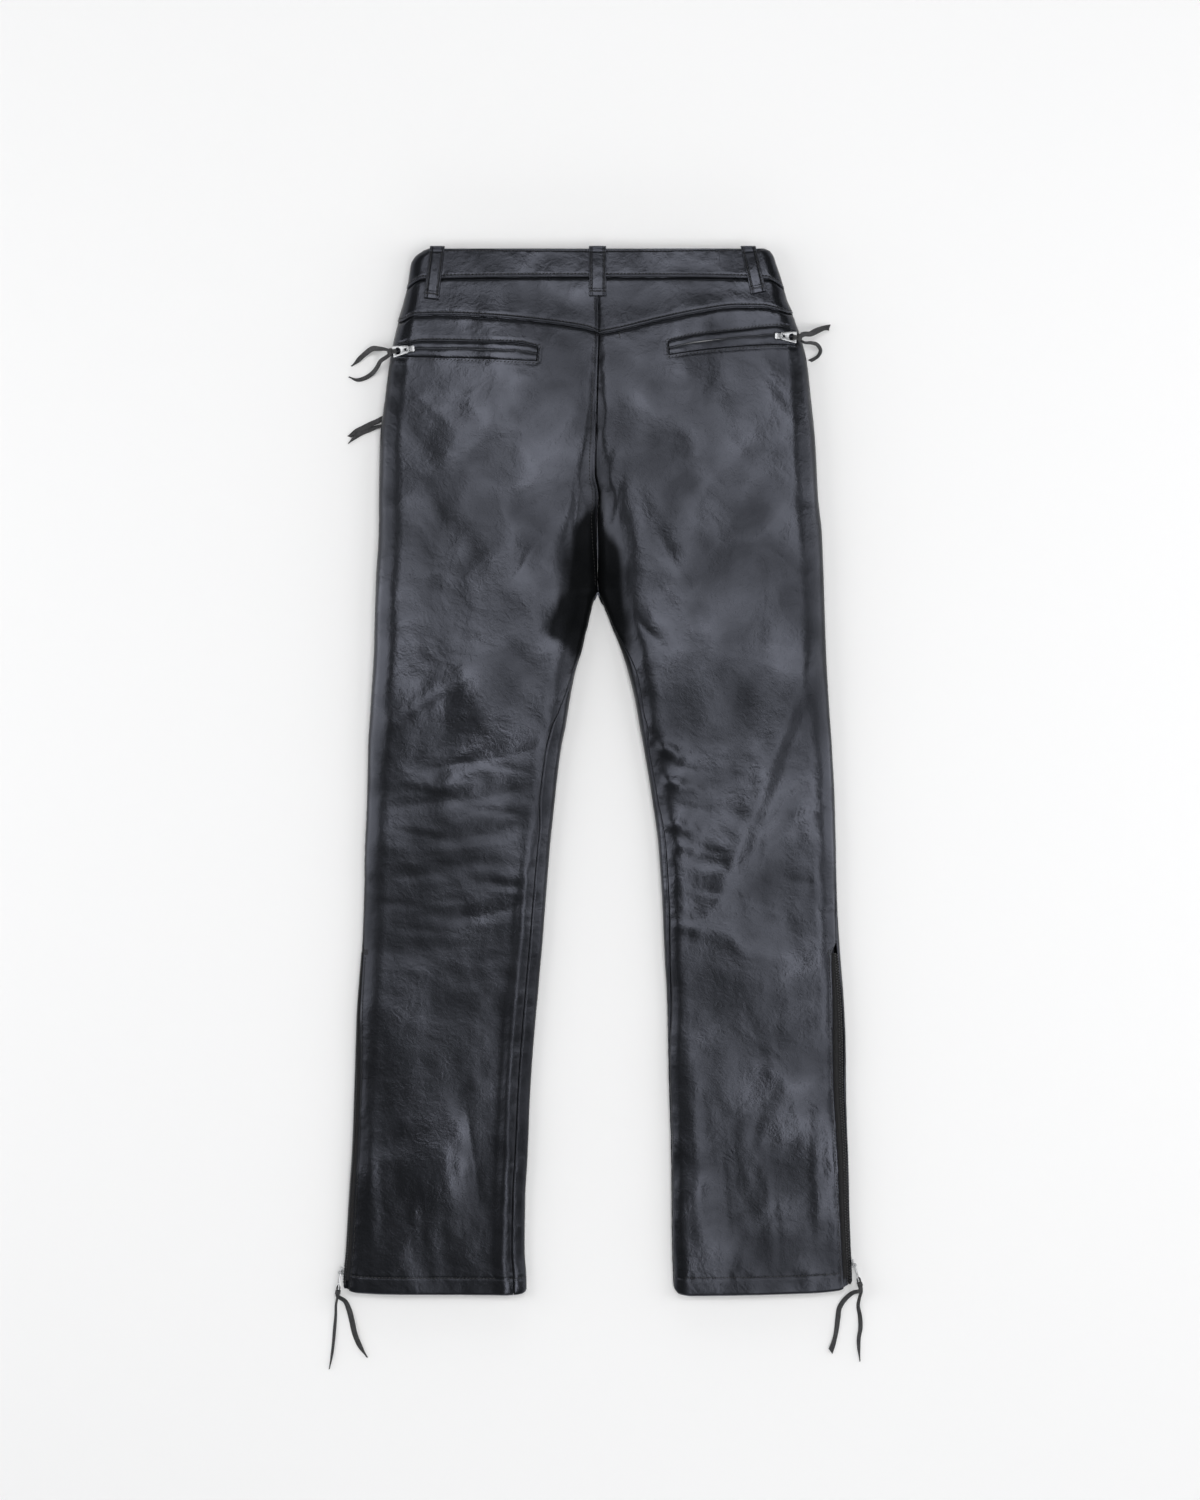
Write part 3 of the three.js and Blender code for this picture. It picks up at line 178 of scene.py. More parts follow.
# Soft ridges and, with a negative height, troughs: x, drop of both ends, width, height.
# These are in the solids too.
FOLDS = [
    (-222, 500, -112, 432, 17, 1.7), (-215, 548, -120, 500, 15, -1.0),
    (232, 398, 112, 712, 20, 1.5), (196, 380, 90, 560, 18, -1.1),
    (-66, 522, -196, 552, 8, -1.3), (-72, 566, -228, 588, 8, -1.2),
    (-70, 606, -180, 622, 8, -1.3), (-110, 642, -232, 662, 9, -1.0),
    (-74, 688, -170, 704, 9, -1.1), (-150, 728, -236, 742, 10, -0.8),
    (62, 520, 98, 534, 8, 1.4), (66, 558, 112, 566, 8, 1.3), (70, 600, 108, 612, 9, 1.2),
    (86, 636, 142, 650, 9, -1.0), (92, 706, 150, 724, 10, 1.0), (12, 162, -2, 208, 6, 1.1),
    (20, 206, 7, 258, 6, 1.1), (-16, 210, -34, 282, 9, 1.0), (36, 262, 84, 336, 12, -1.4),
    (-38, 268, -90, 350, 12, -1.4), (-190, 262, -120, 330, 16, -1.0),
    (196, 250, 130, 322, 16, -1.0), (-150, 126, -90, 172, 18, 1.0),
    (90, 132, 150, 190, 18, 1.0), (-160, 820, -120, 1010, 16, -0.9),
    (150, 800, 190, 1010, 16, -0.9), (-240, 900, -236, 1060, 8, 0.8),
    (-92, 760, -100, 1040, 7, 1.1), (100, 860, 104, 1050, 8, 0.8),
    (226, 900, 230, 1050, 7, 0.7),
]
# Smaller ones, in the leather that shows alone
CREASES = [
    (-205, 566, -150, 574, 3.2, -0.45), (-150, 584, -86, 592, 3.0, -0.5),
    (-228, 606, -160, 618, 3.4, -0.45), (-190, 636, -110, 630, 3.0, -0.4),
    (-128, 662, -78, 670, 3.2, -0.5), (-236, 684, -180, 690, 3.4, -0.4),
    (-120, 540, -74, 548, 2.8, -0.45), (-214, 712, -140, 718, 3.2, -0.35),
    (74, 540, 104, 548, 3, -0.5), (78, 582, 120, 590, 3, -0.45), (84, 622, 132, 634, 3, -0.45),
    (92, 668, 160, 682, 3.2, -0.4), (190, 660, 236, 668, 3.2, -0.4),
    (200, 596, 238, 588, 3, -0.35), (26, 232, 12, 300, 3, -0.45),
    (-24, 236, -30, 320, 3, -0.45), (-60, 300, -96, 356, 3.4, -0.4),
    (56, 296, 92, 352, 3.4, -0.4), (-30, 376, -62, 402, 3.2, -0.5),
    (34, 384, 70, 420, 3.2, -0.5), (-140, 900, -126, 1000, 3.4, -0.35),
    (-190, 960, -184, 1064, 3.4, -0.3), (128, 930, 136, 1050, 3.4, -0.35),
    (180, 960, 190, 1070, 3.4, -0.3), (-100, 128, -60, 140, 4, 0.35),
    (60, 122, 100, 136, 4, 0.35), (-196, 150, -150, 190, 5, 0.4), (170, 140, 200, 180, 5, 0.4),
    (60, 522, 84, 530, 6, 1.2), (66, 556, 90, 562, 6, 1.2), (68, 598, 92, 606, 6, 1.1),
    (78, 622, 104, 632, 6, 1.0), (76, 708, 110, 716, 7, 1.0),
    (-226, 506, -110, 428, 15, 0.8), (230, 404, 116, 700, 10, 1.0), (224, 470, 150, 660, 8, -0.6),
    (-120, 150, -170, 250, 12, 0.7), (110, 160, 170, 250, 12, 0.6),
]
# Patches of fine crumple: middle x and drop, half sizes, wave lengths across and down, height
CRUMPLE = [
    (-150, 640, 110, 130, 34, 11, 0.42), (160, 620, 100, 130, 30, 14, 0.3),
    (-150, 980, 90, 140, 13, 46, 0.3), (170, 960, 90, 150, 15, 60, 0.36),
    (-120, 200, 110, 90, 46, 34, 0.5), (120, 200, 110, 90, 46, 34, 0.5),
    (0, 330, 60, 110, 16, 30, 0.4), (-140, 430, 110, 100, 40, 26, 0.45),
    (150, 430, 110, 100, 36, 40, 0.45),
]
# Painted shade in the crotch's folds lies between these lines: the leather's gloss is cut
# to near black there, standing in for the shade of the folds
PAINTED_SHADE_LINES = table("drop left right", [
    (180, -5, 2), (262, -7, 3), (276, -15, 4), (290, -27, 6), (303, -31, 15), (318, -34, 26),
    (357, -42, 29), (388, -54, 31), (402, -58, 33), (414, -42, 34), (440, -26, 35),
    (470, -28, 38),
])
# Broad hollows beside the centre seam and the crotch: middle x and drop, half sizes, depth
HOLLOWS = [
    (-16, 312, 21, 52, 7.5), (-38, 384, 21, 27, 4.6), (12, 318, 19, 56, 7.5), (22, 378, 12, 34, 3.0),
    (8, 222, 18, 50, 2.6), (-10, 236, 14, 60, 2.0), (34, 404, 14, 36, 1.6),
]


def wave_noise(u, v, seed):
    """Smooth noise of two coordinates, about -1 to 1, one bump to a unit."""
    angles = np.random.default_rng(seed).random((64, 64)) * 2 * np.pi
    iu, iv = np.floor(u).astype(int), np.floor(v).astype(int)

    def corner(i, j):
        turn = angles[(iu + i) % 64, (iv + j) % 64]
        return np.cos(turn) * (u - iu - i) + np.sin(turn) * (v - iv - j)

    s, t = smooth(0, 1, u - iu), smooth(0, 1, v - iv)
    low = mix(corner(0, 0), corner(1, 0), s)
    return 1.5 * mix(low, mix(corner(0, 1), corner(1, 1), s), t)


def ridges(rows, x, drop):
    height = np.zeros(np.broadcast(x, drop).shape)
    for x1, drop1, x2, drop2, width, tall in rows:
        run_x, run_d = x2 - x1, drop2 - drop1
        length = math.hypot(run_x, run_d)
        along = ((x - x1) * run_x + (drop - drop1) * run_d) / length**2
        across = ((x - x1) * run_d - (drop - drop1) * run_x) / length / width
        ends = smooth(-0.12, 0.3, along) * (1 - smooth(0.7, 1.12, along))
        height += tall * ends * np.exp(-across * across)
    return height


def hollows(x, drop):
    depth = np.zeros(np.broadcast(x, drop).shape)
    for mid_x, mid_d, half_x, half_d, deep in HOLLOWS:
        depth += deep * bell(x - mid_x, half_x) * bell(drop - mid_d, half_d)
    return depth


# How far a place lies in the painted shade of the crotch's folds, where the material cuts the gloss
# to near black
def painted_fold_shade(x, drop):
    ragged = 4 * wave_noise(x / 9, drop / 34, 17)
    inside = smooth(-5, 9, x - PAINTED_SHADE_LINES["left"](drop) + ragged)
    inside = inside * smooth(-5, 9, PAINTED_SHADE_LINES["right"](drop) - x + ragged)
    return inside * smooth(170, 290, drop) * (1 - smooth(410, 480, drop))


def crumple(x, drop):
    height = 1.45 * wave_noise(x / 62, drop / 84, 3) + 0.26 * wave_noise(x / 17, drop / 22, 5)
    for i, (mid_x, mid_d, half_x, half_d, wave_x, wave_d, tall) in enumerate(CRUMPLE):
        bend = 0.6 * wave_noise(x / 60, drop / 60, 20 + i)
        field = wave_noise(x / wave_x + bend, drop / wave_d + bend, 40 + i)
        near = bell(x - mid_x, half_x) * bell(drop - mid_d, half_d)
        height = height + tall * near * field
    return height


def sizes_at(side, drop):
    sign, crown = SIGN[side], SHAPE["crown"](drop)
    inner = np.where(drop < CROTCH_DROP, CENTRE_SEAM(drop), INNER_EDGE[side](drop))
    return {
        "sign": sign,
        "outer": OUTLINE[side](drop),
        "inner": inner + sign * HALF_GAP,
        "widest": crown * 0.42,
        "foot": crown * 0.32,
        "outer_top": crown * 0.94,
        "inner_top": crown * 0.96,
        "swell": crown * 0.04,
        "roundness": smooth(230, 350, drop),
        **{name: SHAPE[name](drop)
           for name in ("outer_slope", "inner_slope", "inner_z", "inner_foot")},
    }


def section(size, q):
    """x and height of places on the section."""
    q = np.where(q < 0, q + 6, q)
    part = np.clip(np.floor(q), 0, 5).astype(int)
    t = q - part
    sin, cos = np.sin(t * np.pi / 2), np.cos(t * np.pi / 2)
    sign, outer, inner = size["sign"], size["outer"], size["inner"]
    run = mix(t, sin, size["roundness"])
    brim, lip = outer - sign * size["outer_slope"], inner + sign * size["inner_slope"]
    xs = [
        mix(inner + sign * size["inner_foot"], outer - sign * size["foot"], t),
        outer - sign * size["foot"] * (1 - sin),
        outer - sign * size["outer_slope"] * (1 - cos),
        mix(brim, lip, t),
        inner + sign * size["inner_slope"] * (1 - run),
        inner + sign * size["inner_foot"] * (1 - cos),
    ]
    zs = [
        0 * t,
        size["widest"] * (1 - cos),
        mix(size["widest"], size["outer_top"], sin),
        mix(size["outer_top"], size["inner_top"], t) + size["swell"] * np.sin(t * np.pi) ** 2,
        mix(size["inner_z"], size["inner_top"], cos),
        size["inner_z"] * (1 - sin),
    ]
    shape = np.broadcast(q, outer).shape
    part = np.broadcast_to(part, shape)
    return [np.choose(part, [np.broadcast_to(v, shape) for v in values]) for values in (xs, zs)]


def surface(side, q, drop):
    size = sizes_at(side, drop)
    x, z = section(size, q)
    place = np.where(q < 0, q + 6, q)
    mask = smooth(2.15, 2.9, place) * (1 - smooth(4.5, 5, place))
    fine = smooth(1.9, 2.3, place) * (1 - smooth(4.7, 5.2, place)) * smooth(46, 80, drop)
    x1, z1 = section(size, place - 0.01)
    x2, z2 = section(size, place + 0.01)
    length = np.hypot(x2 - x1, z2 - z1)
    lift = ridges(FOLDS, x, drop) * mask
    lift += (ridges(CREASES, x, drop) + crumple(x, drop)) * fine
    sunk = hollows(x, drop) * smooth(2.6, 3.1, place) * (1 - smooth(4.95, 5.5, place))
    moved_x = x + SIGN[side] * (z2 - z1) * lift / length
    moved_z = z - SIGN[side] * (x2 - x1) * lift / length - sunk
    y = WAIST_Y - np.broadcast_to(drop, x.shape)
    return np.stack([moved_x, y, moved_z], -1)


def normals(side, q, drop):
    step = 0.012
    low = np.where(q < step, q, q - step)
    at_end = (q > 6 - step) | ((q <= 5) & (q > 5 - step))
    high = np.where(at_end, q, q + step)
    along_q = surface(side, high, drop) - surface(side, low, drop)
    along_d = surface(side, q, drop + 1) - surface(side, q, drop - 1)
    normal = np.cross(along_q, along_d) * SIGN[side]
    return normal / np.linalg.norm(normal, axis=-1, keepdims=True)


def wall_points(side, q, drop, offset):
    """Points that stand off the section's line by offset, outwards."""
    q = np.where(q < 0, q + 6, q)
    points = surface(side, q, drop) + normals(side, q, drop) * np.asarray(offset)[..., None]
    if np.min(drop) < CROTCH_DROP:
        size = sizes_at(side, drop)
        sign = SIGN[side]
        held = sign * np.maximum(sign * points[..., 0], sign * size["inner"])
        points[..., 0] = np.where(drop < CROTCH_DROP, held, points[..., 0])
    return points


def inset_place(inset, slope):
    return 2 + 2 / np.pi * np.arccos(1 - np.clip(inset / slope, 0, 1))


def strip_place(inset, slope):
    return 5 - 2 / np.pi * np.arccos(1 - np.clip(inset / slope, 0, 1))


def half_gap(side, q, drop):
    step = 0.02
    size = sizes_at(side, drop)
    ends = [np.stack(section(size, q + move), -1) for move in (step, -step)]
    run = np.linalg.norm(ends[0] - ends[1], axis=-1)
    return SEAM_GAP * step / run


def side_place(side, drop, panel):
    inset = SIDE_SEAM[f"{side}_{panel}"](drop)
    q = inset_place(inset, SHAPE["outer_slope"](drop))
    return q + (1 if panel == "back" else -1) * half_gap(side, q, drop)


def inner_place(side, drop, panel):
    q = strip_place(INSEAM[side](drop), SHAPE["inner_slope"](drop))
    gap = np.minimum(0.05, half_gap(side, q - 0.03, drop))
    if panel == "back":
        return np.where(drop < CROTCH_DROP, 5, q - gap)
    rise = np.clip((drop - LOW_CORNER) / (CROTCH_DROP - LOW_CORNER), 0, 1)
    above = -rise * (1 - SEAM_GAP / SHAPE["inner_z"](drop))
    return np.where(drop < CROTCH_DROP, above, q + gap - 6)


def band_seam(q):
    level = np.where(q > 2, 29.5, 34)
    reach = np.where(q > 2, 0.75, 0.6)
    return level + (42 - level) * bell(q - 2, reach)


def top_x(side, q):
    return section(sizes_at(side, np.float64(NOMINAL_DROP)), q)[0]


def yoke_seam(side, q):
    return YOKE_SEAM[side](top_x(side, q))


SLOPE_SHARE = 0.26


def back_place(side, share, drop):
    start, end = side_place(side, drop, "back"), inner_place(side, drop, "back")
    outer = mix(start, 3, share / SLOPE_SHARE)
    inner = mix(4, end, (share - 1 + SLOPE_SHARE) / SLOPE_SHARE)
    top = 3 + (share - SLOPE_SHARE) / (1 - 2 * SLOPE_SHARE)
    return np.where(share < SLOPE_SHARE, outer, np.where(share > 1 - SLOPE_SHARE, inner, top))


def top_ends(size):
    """Where the section's flat top starts and ends."""
    return (size["outer"] - size["sign"] * size["outer_slope"],
            size["inner"] + size["sign"] * size["inner_slope"])


def share_of(side, x):
    """The share of the way from the side seam to the inner seam, at the pockets' level."""
    size = sizes_at(side, np.float64(NOMINAL_DROP))
    inset = abs(size["outer"] - x)
    if inset < size["outer_slope"]:
        return SLOPE_SHARE * (inset_place(inset, SHAPE["outer_slope"](NOMINAL_DROP)) - 2)
    start, end = top_ends(size)
    return SLOPE_SHARE + (1 - 2 * SLOPE_SHARE) * ((x - start) / (end - start))


def pocket_shares(side):
    return [share_of(side, POCKETS[side][end]) for end in ("outer", "inner")]


def hem_drop(side, drop, q):
    size = sizes_at(side, drop)
    across = np.clip((size["outer"] - section(size, q)[0]) / (size["outer"] - size["inner"]), 0, 1)
    weight = smooth(HEM_LEVEL - HEM_BLEND, HEM_LEVEL, drop)
    return drop + (HEM[side](across) - HEM_LEVEL) * weight


def wall_depth(q, drop):
    turned = smooth(HEM_LEVEL - HEM_TURN - 4, HEM_LEVEL - HEM_TURN + 4, drop)
    beside_zip = smooth(1.3, 1.8, q) * (1 - smooth(2.7, 3, q))
    return mix(LEATHER, HEM_THICK, turned * (1 - beside_zip))


def underside_lift(q, drop):
    return BAND_LIFT * (1 - smooth(1.1, 2, q)) * (1 - smooth(54, 84, drop))


def rolled(distance, radius=0.8):
    """How far a folded edge rolls down, at a distance in from the edge."""
    return -radius * (1 - np.sqrt(1 - np.clip(1 - distance / radius, 0, 1) ** 2))


def spread(*stops):
    """Places between stops: (from, to, how many), with more of them near both ends."""
    parts = []
    for low, high, count in stops:
        t = np.linspace(0, 1, count + 1)
        parts.append(mix(low, high, mix(t, smooth(0, 1, t), 0.75)))
    return np.unique(np.concatenate(parts).round(6))


# Colours and materials

def colour(code):
    """A linear colour from an sRGB hex value."""
    parts = [int(code[i:i + 2], 16) / 255 for i in (1, 3, 5)]
    return (*[c / 12.92 if c <= 0.04045 else ((c + 0.055) / 1.055) ** 2.4 for c in parts], 1)


def add_node(tree, kind, inputs=None, **settings):
    """Adds a node, sets its properties and its inputs; a tuple is a link from (node, output)."""
    made = tree.nodes.new(kind)
    for name, value in settings.items():
        setattr(made, name, value)
    for name, value in (inputs or {}).items():
        if isinstance(value, tuple) and isinstance(value[0], bpy.types.Node):
            tree.links.new(value[0].outputs[value[1]], made.inputs[name])
        else:
            made.inputs[name].default_value = value
    return made


def new_material(name):
    made = bpy.data.materials.new(name)
    made.use_nodes = True
    made.node_tree.nodes.clear()
    return made, made.node_tree


def surface_shader(tree, inputs):
    shader = add_node(tree, "ShaderNodeBsdfPrincipled", inputs)
    add_node(tree, "ShaderNodeOutputMaterial", {"Surface": (shader, "BSDF")})


def object_noise(tree, **inputs):
    """Noise laid through the piece itself."""
    place = add_node(tree, "ShaderNodeTexCoord")
    return add_node(tree, "ShaderNodeTexNoise", {"Vector": (place, "Object"), **inputs})


def ramp(tree, factor, stops):
    made = add_node(tree, "ShaderNodeValToRGB", {"Fac": factor})
    elements = made.color_ramp.elements
    while len(elements) < len(stops):
        elements.new(0.5)
    for element, (place, code) in zip(elements, stops):
        element.position = place
        element.color = colour(code)
    return (made, "Color")


def grained_cowhide():
    """Black garment cowhide, drum dyed, with a polished grain: deep black with a cool, broken
    sheen, dents from wear, soft creases and pebble grain, greyer folded edges (lip above 0,
    partly wear and partly a painted highlight) and painted shade in the crotch's folds (lip
    below 0), drawn by cutting the gloss to near black.
    The grain is drawn about 1.6 mm coarse, because the real 0.5 mm is too fine to show."""
    made, tree = new_material("grained_cowhide")
    where = (add_node(tree, "ShaderNodeTexCoord"), "Object")
    broad, cloud, pores, creased = (
        (object_noise(tree, **inputs), "Fac") for inputs in (
            {"Scale": 6.5, "Detail": 2, "Roughness": 0.4, "Distortion": 0.6},
            {"Scale": 19, "Detail": 3, "Roughness": 0.42, "Distortion": 0.5},
            {"Scale": 240, "Detail": 4, "Roughness": 0.5},
            {"Scale": 90, "Detail": 3, "Roughness": 0.45, "Distortion": 1.8}))
    grain = (add_node(tree, "ShaderNodeTexVoronoi", {"Vector": where, "Scale": 620},
                      feature="SMOOTH_F1"), "Distance")
    lip = add_node(tree, "ShaderNodeAttribute", attribute_name="lip")
    dye = ramp(tree, cloud, [(0.3, "#090a0b"), (0.55, "#0e0f10"), (0.75, "#131416")])
    # lip above 0 greys the folded edges: partly wear, partly a painted highlight
    shown = add_node(tree, "ShaderNodeMapRange", {"Value": (lip, "Fac")})
    # lip below 0 cuts the gloss to near black: painted shade in the crotch's folds
    painted_shade_gloss = add_node(tree, "ShaderNodeMapRange",
                      {"Value": (lip, "Fac"), "From Min": -1.0, "From Max": 0.0,
                       "To Min": 0.04, "To Max": 1.0})
    worn_and_highlit_edges = add_node(tree, "ShaderNodeMix", {0: (shown, "Result"), 6: dye, 7: colour("#242528")},
                    data_type="RGBA")
    mottled = add_node(tree, "ShaderNodeMath", {0: broad, 1: cloud}, operation="ADD")
    rough = add_node(tree, "ShaderNodeMapRange",
                     {"Value": (mottled, "Value"), "From Min": 0.75, "From Max": 1.25,
                      "To Min": 0.36, "To Max": 0.25})
    polish = add_node(tree, "ShaderNodeMapRange",
                      {"Value": (mottled, "Value"), "From Min": 0.72, "From Max": 1.28,
                       "To Min": 0.3, "To Max": 0.58})
    gloss = add_node(tree, "ShaderNodeMath", {0: (polish, "Result"), 1: (painted_shade_gloss, "Result")},
                     operation="MULTIPLY")
    normal = None
    for height, strength, distance in ((broad, 0.5, 0.012), (cloud, 0.5, 0.0032),
                                       (creased, 0.3, 0.0007), (pores, 0.3, 0.0003),
                                       (grain, 0.2, 0.0003)):
        bump = {"Height": height, "Strength": strength, "Distance": distance}
        if normal:
            bump["Normal"] = normal
        normal = (add_node(tree, "ShaderNodeBump", bump), "Normal")
    surface_shader(tree, {"Base Color": (worn_and_highlit_edges, 2), "Roughness": (rough, "Result"), "IOR": 1.5,
                          "Specular IOR Level": (gloss, "Value"),
                          "Specular Tint": colour("#e6ebff"), "Normal": normal})
    return made


def split_thong():
    """Thong cut from black leather: matt and slightly fibrous."""
    made, tree = new_material("split_thong")
    fibre = object_noise(tree, Scale=420, Detail=4)
    dye = ramp(tree, (fibre, "Fac"), [(0.3, "#1a1a1b"), (0.7, "#333335")])
    bump = add_node(tree, "ShaderNodeBump",
                    {"Height": (fibre, "Fac"), "Strength": 0.5, "Distance": 0.0004})
    surface_shader(tree, {"Base Color": dye, "Roughness": 0.62, "IOR": 1.5,
                          "Normal": (bump, "Normal")})
    return made


def metal(name, code, low, high):
    """Metal with faint scuffs that break its shine."""
    made, tree = new_material(name)
    scuffs = object_noise(tree, Scale=900, Detail=4)
    rough = add_node(tree, "ShaderNodeMapRange",
                     {"Value": (scuffs, "Fac"), "From Min": 0.3, "From Max": 0.7,
                      "To Min": low, "To Max": high})
    bump = add_node(tree, "ShaderNodeBump",
                    {"Height": (scuffs, "Fac"), "Strength": 0.12, "Distance": 0.0002})
    surface_shader(tree, {"Base Color": colour(code), "Metallic": 1.0,
                          "Roughness": (rough, "Result"), "Normal": (bump, "Normal")})
    return made


def ribbed(name, code_low, code_high, scale, roughness):
    """Spun thread, woven tape or a moulded chain: matt, with its turns or ribs at a real size."""
    made, tree = new_material(name)
    place = add_node(tree, "ShaderNodeTexCoord")
    weave = add_node(tree, "ShaderNodeTexWave",
                     {"Vector": (place, "Object"), "Scale": scale, "Distortion": 1.5},
                     bands_direction="DIAGONAL")
    tone = ramp(tree, (weave, "Fac"), [(0.2, code_low), (0.8, code_high)])
    bump = add_node(tree, "ShaderNodeBump",
                    {"Height": (weave, "Fac"), "Strength": 0.5, "Distance": 0.0003})
    surface_shader(tree, {"Base Color": tone, "Roughness": roughness, "IOR": 1.5,
                          "Normal": (bump, "Normal")})
    return made


# Meshes

def put(name, data):
    """A new object of the scene."""
    made = bpy.data.objects.new(name, data)
    bpy.context.scene.collection.objects.link(made)
    return made


def baked(thing):
    """The mesh that a curve or an object with modifiers comes to."""
    seen = thing.evaluated_get(bpy.context.evaluated_depsgraph_get())
    return bpy.data.meshes.new_from_object(seen)


def shade_smooth(mesh, sharp):
    """Smooth faces, with edges kept sharp above an angle in degrees."""
    mesh.polygons.foreach_set("use_smooth", [True] * len(mesh.polygons))
    mesh.set_sharp_from_angle(angle=math.radians(sharp))


def to_metres(points):
    return (np.asarray(points, float) + (CENTRE_X, 0, 0)) * MM


def finish_mesh(name, points, faces, material, lip=None, sharp=55):
    """A smooth shaded object at the origin from points in millimetres. Faces nobody uses are
    left out, and the whole is turned so that it encloses a positive volume."""
    used = np.unique(np.concatenate([np.ravel(face) for face in faces]))
    renumber = np.zeros(len(points), int)
    renumber[used] = np.arange(len(used))
    points = to_metres(points)[used]
    faces = [renumber[face] for face in faces]
    volume = 0.0
    for face in faces:
        corners = points[face]
        for i in range(1, corners.shape[1] - 1):
            volume += np.einsum("ij,ij->i", corners[:, 0],
                                np.cross(corners[:, i], corners[:, i + 1])).sum()
    if volume < 0:
        faces = [face[:, ::-1] for face in faces]
    mesh = bpy.data.meshes.new(name)
    mesh.from_pydata(points.tolist(), [], [f for face in faces for f in face.tolist()])
    mesh.materials.append(material)
    if lip is not None:
        layer = mesh.attributes.new("lip", "FLOAT", "POINT")
        layer.data.foreach_set("value", np.clip(lip, -1, 1).astype(np.float32)[used])
    shade_smooth(mesh, sharp)
    mesh.update()
    return put(name, mesh)


def wall(name, outer, inner, material, present=None, lip=None):
    """A closed wall between two grids of points; cells that aren't present are windows."""
    rows, columns = outer.shape[:2]
    count = rows * columns
    index = np.arange(count).reshape(rows, columns)
    if present is None:
        present = np.ones((rows - 1, columns - 1), bool)
    corners = [index[:-1, :-1], index[:-1, 1:], index[1:, 1:], index[1:, :-1]]
    top = np.stack(corners, -1)
    padded = np.pad(present, 1)
    faces = [top[present], top[present][:, ::-1] + count]
    beside = [padded[:-2, 1:-1], padded[1:-1, 2:], padded[2:, 1:-1], padded[1:-1, :-2]]
    for edge, neighbour in enumerate(beside):
        open_edge = present & ~neighbour
        a, b = corners[edge][open_edge], corners[(edge + 1) % 4][open_edge]
        faces.append(np.stack([b, a, a + count, b + count], -1))
    points = np.concatenate([outer.reshape(-1, 3), inner.reshape(-1, 3)])
    if lip is not None:
        lip = np.concatenate([lip.ravel(), np.zeros(count)])
    return finish_mesh(name, points, faces, material, lip)


RIBBON_SIDES = 10


def ribbon(points, across, widths, thick, material, name, closed=False, sides=RIBBON_SIDES,
           square=0.62):
    """A flat strip swept along points; across gives the way its width lies."""
    points = np.asarray(points, float)
    along = np.gradient(points, axis=0)
    if closed:
        along = np.roll(points, -1, 0) - np.roll(points, 1, 0)
    along /= np.linalg.norm(along, axis=1, keepdims=True)
    across = np.broadcast_to(across, points.shape).astype(float)
    across = across - along * (across * along).sum(1, keepdims=True)
    across /= np.linalg.norm(across, axis=1, keepdims=True)
    up = np.cross(along, across)
    turn = np.arange(sides) / sides * 2 * np.pi
    across_turn, up_turn = (np.sign(value) * np.abs(value) ** square
                            for value in (np.cos(turn), np.sin(turn)))
    half = np.broadcast_to(widths, len(points)) / 2
    ring = (points[:, None] + across[:, None] * (half[:, None] * across_turn)[..., None]
            + up[:, None] * (thick / 2 * up_turn)[None, :, None])
    count = len(points)
    index = np.arange(count * sides).reshape(count, sides)
    last = count if closed else count - 1
    a, b = index[np.arange(last)], index[(np.arange(last) + 1) % count]
    faces = [np.stack([a, np.roll(a, -1, 1), np.roll(b, -1, 1), b], -1).reshape(-1, 4)]
    if not closed:
        faces += [index[:1, ::-1], index[-1:]]
    return finish_mesh(name, ring.reshape(-1, 3), faces, material, sharp=60)


def join(name, parts):
    """One mesh object from several, all at the origin."""
    merged = bmesh.new()
    for part in parts:
        merged.from_mesh(part.data)
    mesh = bpy.data.meshes.new(name)
    merged.to_mesh(mesh)
    merged.free()
    materials = []
    for part in parts:
        for material in part.data.materials:
            if material not in materials:
                materials.append(material)
    for material in materials:
        mesh.materials.append(material)
    for part in parts:
        bpy.data.objects.remove(part)
    return put(name, mesh)


def ride(piece, nodes, body=BODY):
    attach(piece, body)
    if nodes:
        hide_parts(*nodes)
    return piece


# Stitches and zip teeth: one Geometry Nodes tree sets a small shape on every marked point

